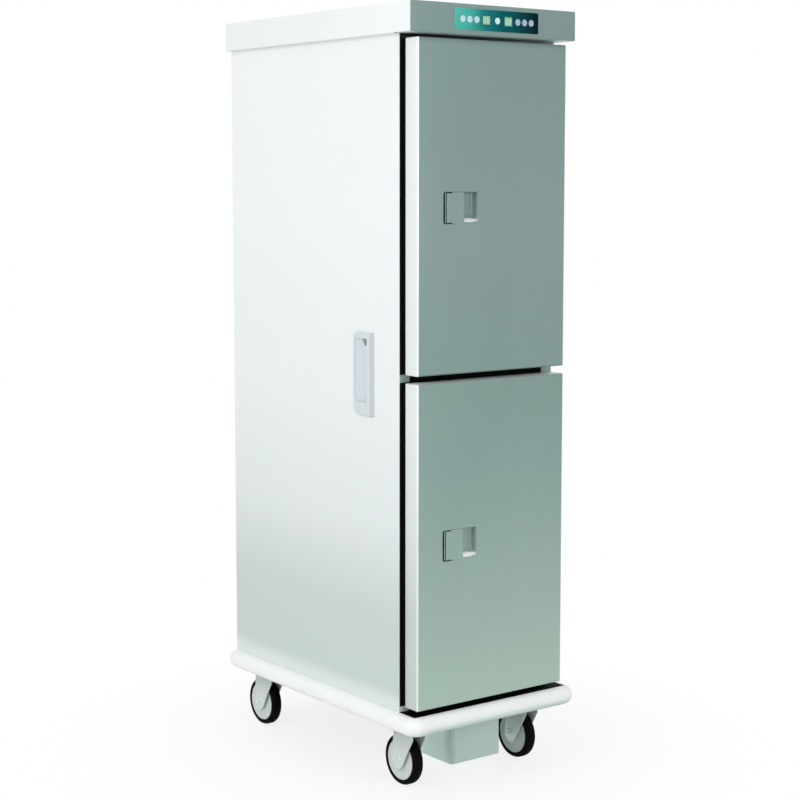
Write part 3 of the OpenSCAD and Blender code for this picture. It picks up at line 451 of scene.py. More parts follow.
def carve(bm, tool):
    """bm without the space that the closed mesh tool takes."""
    bmesh.ops.recalc_face_normals(bm, faces=bm.faces)
    bmesh.ops.recalc_face_normals(tool, faces=tool.faces)
    base, cutter = scene_object("carve_base", bm), scene_object("carve_tool", tool)
    mod = base.modifiers.new("carve", "BOOLEAN")
    mod.operation = "DIFFERENCE"
    mod.solver = "EXACT"
    mod.object = cutter
    bpy.context.view_layer.update()
    mesh = bpy.data.meshes.new_from_object(base.evaluated_get(bpy.context.evaluated_depsgraph_get()))
    out = bmesh.new()
    out.from_mesh(mesh)
    for ob in (base, cutter):
        data = ob.data
        bpy.data.objects.remove(ob)
        bpy.data.meshes.remove(data)
    bpy.data.meshes.remove(mesh)
    return out


def add_box(bm, lo, hi, r=0.0, seg=2):
    """A box between two cabinet points in mm, with rounded edges, added to bm."""
    a, b = at(*lo), at(*hi)
    made = bmesh.ops.create_cube(bm, size=1.0)["verts"]
    for v in made:
        v.co = Vector([a[i] + (v.co[i] + 0.5) * (b[i] - a[i]) for i in range(3)])
    if r:
        edges = list({e for v in made for e in v.link_edges})
        bmesh.ops.bevel(bm, geom=edges, offset=r * MM, segments=seg, profile=0.5, affect="EDGES")


def add_lathe(bm, prof, centre, axis, steps, flip=1):
    """Turns prof, points (radius, height) in mm, round an axis through centre; flip -1 turns it over."""
    rings = []
    for r, h in prof:
        ring = []
        for i in range(1 if r < 1e-6 else steps):
            a = 2 * math.pi * i / steps
            c, s, d = r * math.cos(a) * MM, r * math.sin(a) * MM, h * MM * flip
            offset = {"X": (d, c, s), "Y": (c, d, s), "Z": (c, s, d)}[axis]
            ring.append(bm.verts.new(centre + Vector(offset)))
        rings.append(ring)
    for a, b in zip(rings, rings[1:]):
        for i in range(steps):
            j = (i + 1) % steps
            if len(a) == 1:
                bm.faces.new([a[0], b[j], b[i]])
            elif len(b) == 1:
                bm.faces.new([a[i], a[j], b[0]])
            else:
                bm.faces.new([a[i], a[j], b[j], b[i]])


def skin(bm, loops, mat=0, close=False):
    """Joins loops of equally many vertices by quads of material mat; close caps the last one."""
    n = len(loops[0])
    for a, b in zip(loops, loops[1:]):
        for i in range(n):
            bm.faces.new([a[i], a[(i + 1) % n], b[(i + 1) % n], b[i]]).material_index = mat
    if close:
        bm.faces.new(loops[-1]).material_index = mat


def sweep_rect(bm, x0, x1, z0, z1, prof, y0, closed=True, radius=0.0, steps=5):
    """Sweeps prof, points (out, depth) in mm, round a rectangle in the cabinet's xz plane at y0."""
    path = []
    for sx, sz, start in ((1, 1, 0), (-1, 1, 90), (-1, -1, 180), (1, -1, 270)):
        cx, cz = (x1 if sx > 0 else x0), (z1 if sz > 0 else z0)
        if radius <= 0:
            path.append((cx, cz, sx, sz))
            continue
        for k in range(steps + 1):
            a = math.radians(start + 90 * k / steps)
            path.append((cx - sx * radius + radius * math.cos(a), cz - sz * radius + radius * math.sin(a),
                         math.cos(a), math.sin(a)))
    loops = [[bm.verts.new(at(cx + dx * u, y0 + v, cz + dz * u)) for u, v in prof]
             for cx, cz, dx, dz in path]
    n = len(prof)
    for i, a in enumerate(loops):
        b = loops[(i + 1) % len(loops)]
        for k in range(n if closed else n - 1):
            bm.faces.new([a[k], a[(k + 1) % n], b[(k + 1) % n], b[k]])


def add_prism(bm, pts, to_point, depth_a, depth_b):
    """Extrudes a closed outline, placed by to_point(u, v, depth). Returns the edges of its two ends."""
    va = [bm.verts.new(to_point(u, v, depth_a)) for u, v in pts]
    vb = [bm.verts.new(to_point(u, v, depth_b)) for u, v in pts]
    ends = [bm.faces.new(va), bm.faces.new(list(reversed(vb)))]
    skin(bm, [va, vb])
    return list({e for f in ends for e in f.edges})


def soften(bm, edges, r):
    """Rounds edges by r mm."""
    bmesh.ops.bevel(bm, geom=edges, offset=r * MM, segments=2, profile=0.5, affect="EDGES",
                    clamp_overlap=True)


def arc(cx, cy, r, a0, a1, n):
    """Points of an arc from a0 to a1 degrees, in n steps."""
    return [(cx + r * math.cos(math.radians(a0 + (a1 - a0) * i / n)),
             cy + r * math.sin(math.radians(a0 + (a1 - a0) * i / n))) for i in range(n + 1)]


def round_rect(w, h, r, n, cx, cy):
    """Outline of a rectangle round (cx, cy) with corners of radius r, in n steps each."""
    x, y = w / 2 - r, h / 2 - r
    pts = []
    for sx, sy, a in ((1, 1, 0), (-1, 1, 90), (-1, -1, 180), (1, -1, 270)):
        pts += arc(cx + sx * x, cy + sy * y, r, a, a + 90, n)
    return pts


def screws(name, places, r, body):
    """Dome-headed screws with a socket. places are (point in the row frame, outward direction)."""
    bm = bmesh.new()
    head = [(r * 0.98, -0.15), (r, 0.1), (r * 0.96, 0.30 * r), (r * 0.80, 0.46 * r), (r * 0.52, 0.56 * r),
            (r * 0.44, 0.54 * r), (r * 0.42, 0.12 * r), (0, 0.10 * r)]
    for point, out in places:
        old = set(bm.verts)
        add_lathe(bm, head, Vector((0, 0, 0)), "Z", 20)
        turn = Vector((0, 0, 1)).rotation_difference(Vector(out)).to_matrix().to_4x4()
        head_verts = [v for v in bm.verts if v not in old]
        bmesh.ops.transform(bm, matrix=Matrix.Translation(point) @ turn, verts=head_verts)
    finish_mesh(name, bm, [M["bolt"]], body)


# Doors

def door_shell(side):
    """Folded door skin: a front, rounded bends, sides with a turned lip, and the cut-out for its latch."""
    z0 = DOOR_Z[side]
    mid = z0 + DOOR_H / 2
    lip, bend = 8.0, 3.0
    left, middle, right, top = DOOR_X, DOOR_X + DOOR_W / 2, DOOR_X + DOOR_W, z0 + DOOR_H
    corners = ((left, z0), (right, z0), (right, top), (left, top))
    inner = [(x + math.copysign(lip, middle - x), z + math.copysign(lip, mid - z)) for x, z in corners]
    bm = bmesh.new()
    front, back, turned, hollow = ([bm.verts.new(at(x, DOOR_Y + depth, z)) for x, z in outline]
                                   for outline, depth in ((corners, 0), (corners, DOOR_T), (inner, DOOR_T),
                                                          (inner, SHEET)))
    bm.faces.new(front)
    skin(bm, [front, back, turned, hollow], 1, True)
    edges = [e for e in bm.edges if sum(v in front or v in back for v in e.verts) == 2]
    bmesh.ops.bevel(bm, geom=edges, offset=bend * MM, segments=6, profile=0.5, affect="EDGES", material=1)
    # The left bend takes a painted highlight, the right one the edge tone, and the upper door's top and
    # bottom bends painted shade.
    for f in bm.faces:
        x, depth, _ = (v / MM for v in f.calc_center_median() - at(DOOR_X, DOOR_Y, z0))
        if f.material_index == 1 and depth <= bend:
            f.material_index = 2 if x < bend else 1 if x > DOOR_W - bend else 3 if side == "upper" else 0
    tool = bmesh.new()
    add_prism(tool, round_rect(LATCH_W, LATCH_H, 4.0, 5, DOOR_X + LATCH_X + LATCH_W / 2, mid),
              lambda u, v, d: at(u, DOOR_Y + d, v), -5, 5)
    mats = [M["front"], M["edge"], M["bend"], M["bend_dark"]]
    finish_mesh(f"{side}_door_shell", carve(bm, tool), mats, f"{side}_door",
                replaces=[f"{side}_door_skin"])


def door_bead(side):
    """Pressed bead that stiffens the door's inner sheet, inside the gasket."""
    z0 = DOOR_Z[side]
    in_x, in_z = 74, 62
    prof = [(0.0, 0.05), (-1.2, 0.5), (-3.2, 1.9), (-6.0, 2.4), (-8.8, 1.9), (-10.8, 0.5), (-12.0, 0.05)]
    bm = bmesh.new()
    sweep_rect(bm, DOOR_X + in_x, DOOR_X + DOOR_W - in_x, z0 + in_z, z0 + DOOR_H - in_z, prof,
               DOOR_Y + DOOR_T, closed=False, radius=26, steps=8)
    finish_mesh(f"{side}_door_bead", bm, [M["inner"]], f"{side}_door", angle=60)


def gasket(side):
    """Balloon seal: a ribbed foot in the door and a soft bead that meets the frame."""
    z0 = DOOR_Z[side]
    prof = [(0.0, 0.3), (-0.2, 3.0), (-1.6, 4.8), (-2.6, 5.2), (-2.4, 6.6), (-1.2, 8.4), (-0.4, 10.6),
            (-0.9, 12.4), (-2.8, 13.5), (-8.0, 13.7), (-12.6, 13.6), (-15.0, 12.6), (-15.8, 10.6),
            (-15.0, 8.2), (-13.8, 6.6), (-13.6, 5.2), (-15.6, 4.8), (-17.7, 3.0), (-18.0, 0.3)]
    bm = bmesh.new()
    sweep_rect(bm, DOOR_X + 3, DOOR_X + DOOR_W - 20, z0 + 5, z0 + DOOR_H - 5, prof, DOOR_Y + DOOR_T)
    finish_mesh(f"{side}_seal", bm, [M["rubber"]], f"{side}_door", angle=50,
                replaces=[f"{side}_door_gasket"])


def ease(t):
    """Smooth step from 0 to 1."""
    t = min(1.0, max(0.0, t))
    return t * t * (3 - 2 * t)


def latch_tub(side):
    """Pressed latch recess: steep walls, a floor that curves out at its foot, and the pivot pin."""
    mid = DOOR_Z[side] + DOOR_H / 2
    half = LATCH_H / 2 + 0.6
    left, right = LATCH_X - 0.6, LATCH_X + LATCH_W + 0.6
    left_wall, right_wall, top_wall, foot = 2.4, 6.0, 3.0, 21.0
    rim, deep = 0.5, 14.5
    glint_x, glint_z = LATCH_X + 75, -27.5

    def near(lo, hi, first, last, steps):
        """Grid lines from lo to hi, close together over the first and last mm."""
        count = max(7, round(first))
        lines = [lo + first * k / count for k in range(count)]
        lines += [lo + first + (hi - last - lo - first) * k / steps for k in range(steps)]
        return lines + [hi - last + last * k / 7 for k in range(8)]

    def depth(x, z):
        sides = ease((x - left) / left_wall) * ease((right - x) / right_wall)
        return rim + deep * sides * ease((half - z) / top_wall) * ease((z + half) / foot)

    def tone(x, z):
        """Index of the material: painted shade round the hinge edge, a painted highlight with its edge at
        the foot.
        """
        if x < LATCH_X + 10 or (x < LATCH_X + 34 and z < 6 - half):
            return 1
        glint = math.hypot((x - glint_x) / 21, (z - glint_z) / 4.2)
        return 2 if glint < 1 else 3 if glint < 1.35 else 0

    xs = near(left, right, left_wall, right_wall, 40)
    zs = near(-half, half, foot, top_wall, 14)
    bm = bmesh.new()
    grid = [[bm.verts.new(at(DOOR_X + x, DOOR_Y + depth(x, z), mid + z)) for x in xs] for z in zs]
    for i, row in enumerate(grid[:-1]):
        for j in range(len(xs) - 1):
            face = bm.faces.new([row[j], row[j + 1], grid[i + 1][j + 1], grid[i + 1][j]])
            face.material_index = tone((xs[j] + xs[j + 1]) / 2, (zs[i] + zs[i + 1]) / 2)
    pin = [(0, 2.6 - half), (1.5, 2.6 - half), (1.5, half - 2.6), (0, half - 2.6)]
    add_lathe(bm, pin, at(DOOR_X + LATCH_X + PIVOT[0], DOOR_Y + PIVOT[1], mid), "Z", 16)
    mats = [M["recess"], M["slot"], M["glint"], M["glow"]]
    finish_mesh(f"{side}_latch_tub", bm, mats, f"{side}_door",
                replaces=[f"{side}_latch_housing"], angle=60)


def latch_plate(side):
    """Paddle: rounded hinge edge, relieved corners, dished plate, rolled free edge, and the bolt's arm."""
    mid = DOOR_Z[side] + DOOR_H / 2
    half = LATCH_H / 2 - 0.8
    px = PIVOT[0]
    end = 60.0
    arm_half, arm_end = 6, 23.5

    def point(x, y, z):
        return at(DOOR_X + LATCH_X + x, DOOR_Y + y, mid + z)

    prof = [(px + 1.6, 3.9), (px + 1.3, 2.6), (px + 1.6, 1.2), (px + 2.6, 0.4), (px + 4.5, 0.15),
            (px + 14, 0.3), (end - 22, 0.5), (end - 6, 0.35), (end - 2, 0.1)]
    prof += arc(end - 1.6, 1.9, 1.8, 270, 450, 6)
    prof += [(end - 5, 3.7), (end - 22, 3.9), (px + 6, 3.9)]
    bm = bmesh.new()
    soften(bm, add_prism(bm, prof, point, -half, half), 0.5)
    for s in (-1, 1):
        tool = bmesh.new()
        relief = round_rect(36, 12, 3.0, 5, px, s * (half + 3.6))
        add_prism(tool, relief, lambda u, v, d: point(u, d, v), -4, 9)
        bm = carve(bm, tool)
    arm_x = DOOR_X + LATCH_X + px
    arm_foot, arm_top = mid - arm_half, mid + arm_half
    add_box(bm, (arm_x, DOOR_Y + PIVOT[1], arm_foot), (arm_x + 5, DOOR_Y + arm_end, arm_top), 0.8)
    # The paddle's hinge edge takes the dark grey of painted shade.
    hinge_edge = at(arm_x + 2.3, 0, 0).x
    for f in bm.faces:
        f.material_index = 1 if f.calc_center_median().x < hinge_edge else 0
    finish_mesh(f"{side}_paddle", bm, [M["front"], M["slot"]], f"{side}_paddle",
                replaces=[f"{side}_latch_paddle"])


for door in SIDES:
    door_shell(door)
    door_bead(door)
    gasket(door)
    latch_tub(door)
    latch_plate(door)


# Compartments

def cell_span(side):
    """Heights of the foot and the top of a compartment."""
    return DOOR_Z[side] + CELL_EDGE, DOOR_Z[side] + DOOR_H - CELL_EDGE


def frame_sheet():
    """Front frame with two rounded openings, and a black contact strip round each for the door's seal, whose
    black also paints the shade in the gaps beside the doors.
    """
    bm = bmesh.new()
    add_box(bm, (SHEET, 0, BODY_Z), (BODY_W - SHEET, 2, CAP_Z), 0.4)
    for side in SIDES:
        z0, z1 = cell_span(side)
        tool = bmesh.new()
        pts = round_rect(BODY_W - 2 * CELL_X, z1 - z0, 6.0, 6, BODY_W / 2, (z0 + z1) / 2)
        add_prism(tool, pts, lambda u, v, d: at(u, d, v), -5, 8)
        bm = carve(bm, tool)
    strip = 23.0
    left, right, hinge_x = DOOR_X + strip, DOOR_X + DOOR_W - strip - 15, BODY_W - 32
    levels = [DOOR_Z[side] + d for side in SIDES for d in (0, strip, DOOR_H - strip, DOOR_H)]
    cuts = [(at(x, 0, 0), (1, 0, 0)) for x in (left, right, hinge_x)]
    cuts += [(at(0, 0, z), (0, 0, 1)) for z in levels]
    for point, normal in cuts:
        whole = bm.verts[:] + bm.edges[:] + bm.faces[:]
        bmesh.ops.bisect_plane(bm, geom=whole, plane_co=point, plane_no=normal)
    for f in bm.faces:
        centre = f.calc_center_median()
        x, z = centre.x / MM + BODY_W / 2, centre.z / MM
        level = any(0 < z - DOOR_Z[side] - strip < DOOR_H - 2 * strip for side in SIDES)
        inside = left < x < right and level
        between = x < left and DOOR_Z["lower"] + DOOR_H < z < DOOR_Z["upper"]
        foot = x < left and z < DOOR_Z["lower"]
        above = z > DOOR_Z["upper"] + DOOR_H
        # Index 1 is the black contact strip, whose black also paints the shade in the gaps, and index 3 the
        # strip above the upper door, in painted shade.
        f.material_index = 3 if above else 2 if foot else 4 if inside else 0 if between or x > hinge_x else 1
    mats = [M["front"], M["paint"], M["side"], M["top_strip"], M["inner"]]
    finish_mesh("frame_sheet", bm, mats, "cabinet", replaces=["front_frame"])


def liner_shell(side):
    """Compartment liner with coved edges, and holes in its back for the fan shaft and the heater."""
    z0, z1 = cell_span(side)
    front, back = 2.05, 2 + CELL_D
    cx, cz = BODY_W / 2, (z0 + z1) / 2
    w, h, r, cove = BODY_W - 2 * CELL_X, z1 - z0, 6.0, 5.0
    bm = bmesh.new()

    def ring(inset, y, radius):
        pts = round_rect(w - 2 * inset, h - 2 * inset, radius, 6, cx, cz)
        return [bm.verts.new(at(u, y, v)) for u, v in pts]

    outer = [ring(-1.0, y, r + 1) for y in (front, back + 1.0)]
    skin(bm, outer)
    bm.faces.new(outer[-1])
    inner = [ring(0, front, r)]
    for k in range(5):
        a = math.radians(90 * k / 4)
        inset = cove * (1 - math.cos(a))
        inner.append(ring(inset, back - cove * (1 - math.sin(a)), max(r - inset, 0.8)))
    skin(bm, inner, 0, True)
    skin(bm, [outer[0], inner[0]])
    tool = bmesh.new()
    for dx, dz, hole in ((0, 0, 4.5), (-19.75, -92.92, 5.3), (19.75, -92.92, 5.3)):
        add_lathe(tool, [(0, -6), (hole, -6), (hole, 6), (0, 6)], at(cx + dx, back + 0.5, cz + dz), "Y", 24)
    finish_mesh(f"{side}_liner_shell", carve(bm, tool), [M["inner"]], "cabinet",
                replaces=[f"{side}_liner"])


def runner_set():
    """Folded angles that carry the trays: a ledge with eased edges, a rounded fold and a wall flange."""
    t, fold, ledge, drop, length, start = 1.5, 2.5, 14.0, 12.0, 560.0, 8.0
    prof = [(0, -drop), (0, -fold)] + arc(fold, -fold, fold, 180, 90, 5)[1:]
    prof += [(ledge - 0.5, 0), (ledge, -0.5), (ledge, 0.5 - t), (ledge - 0.5, -t)]
    prof += arc(fold, -fold, fold - t, 90, 180, 4) + [(t, -drop)]
    bm = bmesh.new()
    for side in SIDES:
        z0 = cell_span(side)[0]
        for level in range(9):
            z = z0 + 50 + 70 * level
            for wall, way in ((CELL_X, 1), (BODY_W - CELL_X, -1)):
                add_prism(bm, prof, lambda u, v, d: at(wall + way * u, d, z + v), start, start + length)
    finish_mesh("runner_set", bm, [M["inner"]], "cabinet", replaces=["tray_runners"],
                angle=28)


frame_sheet()
for cell in SIDES:
    liner_shell(cell)
runner_set()


# Top cover and controls

def top_cover():
    """Folded cover with rounded edges, and the window behind the control panel."""
    bm = bmesh.new()
    foot = (-CAP_SIDE, CAP_Y, CAP_Z)
    add_box(bm, foot, (BODY_W + CAP_SIDE, BODY_D + CAP_REAR, CAP_Z + CAP_H), 2.2, 4)
    bm.normal_update()
    face_y = at(0, CAP_Y + SHEET, 0).y
    for f in bm.faces:
        # Front faces take the front steel with its painted shade, and faces turned down the underside's
        # painted shade next to the body.
        f.material_index = 1 if f.calc_center_median().y < face_y else 2 if f.normal.z < -0.3 else 0
    half_w, edge = 112, 20
    tool = bmesh.new()
    add_box(tool, (PANEL_X - half_w, CAP_Y - 5, CAP_Z + edge),
            (PANEL_X + half_w, CAP_Y + 20, CAP_Z + CAP_H - edge))
    mats = [M["side"], M["front"], M["under"]]
    finish_mesh("cover_shell", carve(bm, tool), mats, "cabinet", replaces=["top_cover"])


def panel_membrane():
    """Control panel: a thin plate with a bevelled rim, holes for the keys and windows for the displays."""
    steps = ((0.0, 3.0, 0.0), (0.0, 3.0, -1.3), (0.8, 2.4, -2.0), (2.5, 2.0, -2.0), (2.8, 1.8, -1.8))
    bm = bmesh.new()
    rings = []
    for inset, r, y in steps:
        pts = round_rect(PANEL_W - 2 * inset, PANEL_H - 2 * inset, r, 4, PANEL_X, PANEL_Z)
        rings.append([bm.verts.new(at(u, CAP_Y + y, v)) for u, v in pts])
    skin(bm, rings, 0, True)
    bm.faces.new(list(reversed(rings[0])))
    hole = [(0, -6), (8.25, -6), (8.25, 6), (0, 6)]
    for dx in KEY_X:
        tool = bmesh.new()
        add_lathe(tool, hole, at(PANEL_X + dx, CAP_Y, PANEL_Z), "Y", 48)
        bm = carve(bm, tool)
    for dx in DISPLAY_X:
        x = PANEL_X + dx
        tool = bmesh.new()
        add_box(tool, (x - 12.5, CAP_Y - 6, PANEL_Z - 11.5), (x + 12.5, CAP_Y + 6, PANEL_Z + 11.5))
        bm = carve(bm, tool)
    finish_mesh("membrane", bm, [M["panel"]], "cabinet", replaces=["control_panel"])


def displays():
    """Each display has a thin raised bezel and a lit glass."""
    prof = [(0.0, -1.7), (0.0, -2.25), (-0.8, -2.5), (-2.6, -2.3), (-2.6, -1.6)]
    for k, dx in enumerate(DISPLAY_X, 1):
        x, z = PANEL_X + dx, PANEL_Z
        bm = bmesh.new()
        sweep_rect(bm, x - 13.3, x + 13.3, z - 12.3, z + 12.3, prof, CAP_Y, closed=False, radius=1.6)
        finish_mesh(f"display_bezel_{k}", bm, [M["bezel"]], "cabinet")
        bm = bmesh.new()
        add_box(bm, (x - 10.8, CAP_Y - 2.05, z - 9.8), (x + 10.8, CAP_Y - 1.25, z + 9.8), 0.25)
        finish_mesh(f"display_glass_{k}", bm, [M["display"]], "cabinet")


def digits():
    """Two seven-segment digits on each display, with every segment on."""
    level = [(0, v, 4.4, 1.3) for v in (6, 0, -6)]
    upright = [(u, v, 1.3, 4.6) for v in (3, -3) for u in (-2.9, 2.9)]
    bm = bmesh.new()
    for dx in DISPLAY_X:
        for shift in (-4.6, 4.6):
            x = PANEL_X + dx + shift
            for u, v, w, h in level + upright:
                pts = round_rect(w, h, 0.6, 2, x + u, PANEL_Z + v)
                add_prism(bm, pts, lambda a, b, d: at(a, CAP_Y + d, b), -2.12, -2.0)
    finish_mesh("display_digits", bm, [M["digit"]], "cabinet")


def keys():
    """Round keys with a raised rim and a shallow dish."""
    prof = [(0, 6), (7.6, 6), (7.6, 0.2), (7.9, 0.0), (7.9, -0.35), (7.4, -0.7), (6.4, -0.8), (5.6, -0.62),
            (3.0, -0.5), (0, -0.48)]
    rim_r = 6.9 * MM
    tones = [("key_white", "key_rim")] * 3 + [("key_mid", "key_dark")] + [("key_lav", "key_dark")] * 3
    for i, (dx, pair) in enumerate(zip(KEY_X, tones), 1):
        centre = at(PANEL_X + dx, CAP_Y - 2, PANEL_Z)
        bm = bmesh.new()
        add_lathe(bm, prof, centre, "Y", 48)
        for f in bm.faces:
            off = f.calc_center_median() - centre
            f.material_index = 1 if math.hypot(off.x, off.z) > rim_r else 0
        mats = [M[key] for key in pair]
        finish_mesh(f"key_{i}", bm, mats, f"button_{i}_cap",
                    replaces=[f"button_{i}"])


top_cover()
panel_membrane()
displays()
digits()
keys()


# Push handles

def shrink(pts, d):
    """Moves a closed outline inward by d."""
    out = []
    for i, (u, v) in enumerate(pts):
        pu, pv = pts[i - 1]
        nu, nv = pts[(i + 1) % len(pts)]
        length = math.hypot(nu - pu, nv - pv) or 1
        out.append((u - (nv - pv) / length * d, v + (nu - pu) / length * d))
    return out


def d_shape(y0, y1, z0, z1, front, low, high):
    """Outline with corners of radius front at the front, and of radius low and high at the rear."""
    return (arc(y0 + front, z0 + front, front, 180, 270, 4) + arc(y1 - low, z0 + low, low, 270, 360, 10)
            + arc(y1 - high, z1 - high, high, 0, 90, 6) + arc(y0 + front, z1 - front, front, 90, 180, 4))


def handle(name, left):
    """Moulded shell: a slanted front edge, a pocket that deepens toward it, and a dark gusset at its top
    that paints the shadow there.
    """
    y0, y1, z0, z1 = 96.0, 168.0, 867.0, 1062.0
    out = 10.0
    mouth_y0, mouth_y1, mouth_z0, mouth_z1 = y0 + 17, y0 + 64, 900.0, 1047.0
    heel = mouth_y0 + 12

    def point(u, v, x):
        return at(x if left else BODY_W - x, u, v)

    def slanted(pts, d, front):
        """The outline moved inward by d, and its front edge by front more."""
        return [(y1 - (y1 - u) * (1 - front / (y1 - y0)), v) for u, v in shrink(pts, d)]

    def floor(u, v, t):
        """A point t of the way down the pocket, whose front wall leans back as it goes down."""
        deep = 1.2 + 9.2 * (mouth_y1 - u) / (mouth_y1 - mouth_y0)
        shift = (mouth_y0 - y0 - 10) * t * (heel - u) / 20 if u < heel else 0
        return point(u + shift, v, -out + 1.6 + t * deep)

    outline = d_shape(y0, y1, z0, z1, 4, 26, 12)
    mouth = d_shape(mouth_y0, mouth_y1, mouth_z0, mouth_z1, 3, 12, 8)
    steps = ((0.0, 0.0, 0.0), (0.0, -1.5, 0.0), (0.5, -3.4, 1.6), (1.2, -6.0, 4.2), (2.2, -8.4, 7.4),
             (3.2, -9.6, 9.8), (4.2, -out, 12.0))
    bm = bmesh.new()
    loops = [[bm.verts.new(point(u, v, x)) for u, v in slanted(outline, d, front)] for d, x, front in steps]
    loops += [[bm.verts.new(point(u, v, x)) for u, v in shrink(mouth, d)]
              for d, x in ((-1.6, -out), (-0.6, -out + 0.5), (0.0, -out + 1.6))]
    skin(bm, loops)
    # The front edge takes a shaded copy of the shell: painted shade.
    front_edge = at(0, y0 + 12.5, 0).y
    for f in bm.faces:
        f.material_index = 2 if max(v.co.y for v in f.verts) < front_edge else 0
    # The pocket's floor takes a shaded copy of the shell: painted shade.
    pocket = [loops[-1]] + [[bm.verts.new(floor(u, v, t)) for u, v in mouth] for t in (0.3, 0.7, 1.0)]
    bottom = [(heel + (u - heel) * 0.8, v) for u, v in shrink(mouth, 3.0)]
    pocket.append([bm.verts.new(floor(u, v, 1.0)) for u, v in bottom])
    skin(bm, pocket, 3, True)
    # Dark gusset that paints the shadow at the top of the pocket.
    gusset = [(mouth_y0 + 9, mouth_z1 - 1), (mouth_y0 + 23, mouth_z1 - 1), (mouth_y0 + 18, mouth_z1 - 6),
              (mouth_y0 + 9, mouth_z1 - 15)]
    for f in {f for e in add_prism(bm, gusset, point, -out + 2.6, 0.0) for f in e.link_faces}:
        f.material_index = 1
    mats = [M[key] for key in ("shell", "pocket", "shell_front", "shell_floor")]
    return finish_mesh(name, bm, mats, "cabinet", angle=40)


left_handle = handle("left_handle_shell", True)
handle("right_handle_shell", False)
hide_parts("push_handles")


# Casters

def tangent_angle(corner, centre, r, side):
    """Angle at which a line from corner touches the circle of radius r round centre, on one side of it."""
    dy, dz = corner[0] - centre[0], corner[1] - centre[1]
    return math.degrees(math.atan2(dz, dy) + side * math.acos(r / math.hypot(dy, dz)))


def fork_shell(corner, point, body):
    """Two tapered legs with rolled edges and a pressed boss, under a crown."""
    crown_top = 140.2
    axle, leg_r, reach = (TRAIL, WHEEL_R), 20.0, 26.0
    front, rear = (-reach, crown_top - 20), (reach + 22, crown_top - 10)
    start = tangent_angle(front, axle, leg_r, 1)
    sweep = (tangent_angle(rear, axle, leg_r, -1) - start) % 360
    outline = [(-reach, crown_top - 0.5), front] + arc(*axle, leg_r, start, start + sweep, 40)
    outline += [rear, (reach, crown_top - 0.5)]
    boss = [(13.0, 0.0), (12.0, 0.9), (10.6, 1.2), (0, 1.2)]
    bm = bmesh.new()
    for s in (-1, 1):
        soften(bm, add_prism(bm, outline, point, s * (FORK_HALF - 3.0), s * FORK_HALF), 1.0)
        add_lathe(bm, boss, point(*axle, s * FORK_HALF), "X", 40, s)
    crown = [(6.1, 132.6), (29.0, 132.6), (29.0, 138.6), (27.6, crown_top), (6.1, crown_top)]
    add_lathe(bm, crown, point(0, 0, 0), "Z", 56)
    finish_mesh(f"{corner}_fork_shell", bm, [M["fork"]], body, replaces=[f"{corner}_fork"])


def axle_bolt(corner, point, body):
    """Axle with a hexagon head on one side and a nut with the thread's end on the other."""
    head = [(3.8, 3.1), (3.0, 3.5), (0, 3.6)]
    thread = [(3.6, 3.1), (2.8, 3.8), (0, 3.9)]
    bm = bmesh.new()
    for s, r, end in ((-1, 5.6, head), (1, 5.4, thread)):
        hexagon = [(r * 0.93, 1.1), (r, 1.4), (r, 2.6), (r * 0.88, 3.1), (3.7, 3.2)]
        add_lathe(bm, hexagon, point(TRAIL, WHEEL_R, s * FORK_HALF), "X", 6, s)
        add_lathe(bm, end, point(TRAIL, WHEEL_R, s * FORK_HALF), "X", 24, s)
    add_lathe(bm, [(4.0, -FORK_HALF), (4.0, FORK_HALF)], point(TRAIL, WHEEL_R, 0), "X", 24)
    finish_mesh(f"{corner}_axle_bolt", bm, [M["fork"]], body, angle=25)


def wheel(corner, point, body):
    """Tyre with rounded shoulders and two fine grooves, on a disc wheel with a boss."""
    tyre = [(WHEEL_R, 4.8), (59.6, 5.3), (59.3, 5.7), (59.6, 6.1), (59.9, 6.6), (59.2, 9.0), (57.8, 11.4),
            (55.4, 13.2), (52.5, 14.0), (49.4, 13.9), (48.2, 13.0)]
    disc = [(48.0, 11.4), (47.2, 12.0), (43.6, 12.0), (42.4, 11.4), (41.6, 10.8), (30.0, 10.5), (15.0, 10.6),
            (13.0, 11.4), (12.0, 13.0), (12.0, 16.0), (11.4, 16.6), (4.1, 16.6)]
    bm = bmesh.new()
    add_lathe(bm, [(r, -h) for r, h in reversed(tyre)] + tyre, point(TRAIL, WHEEL_R, 0), "X", 72)
    finish_mesh(f"{corner}_tyre_band", bm, [M["tyre"]], body, replaces=[f"{corner}_tyre"],
                angle=40)
    bm = bmesh.new()
    add_lathe(bm, [(r, -h) for r, h in reversed(disc)] + disc, point(TRAIL, WHEEL_R, 0), "X", 64)
    finish_mesh(f"{corner}_wheel_disc", bm, [M["nylon"]], body, replaces=[f"{corner}_hub"],
                angle=35)


def caster_frame(sx, sy):
    """Returns the way from (y, z, x) in mm, from a caster's swivel axis, to a point of the row frame."""
    swivel = Vector((sx * CASTER_X, sy * CASTER_Y, 0)) * MM
    return lambda y, z, x: swivel + Vector((x, y, z)) * MM


for corner, (sx, sy) in CORNERS.items():
    at_caster = caster_frame(sx, sy)
    fork_shell(corner, at_caster, f"{corner}_caster")
    axle_bolt(corner, at_caster, f"{corner}_caster")
    wheel(corner, at_caster, f"{corner}_wheel")


# Fastenings

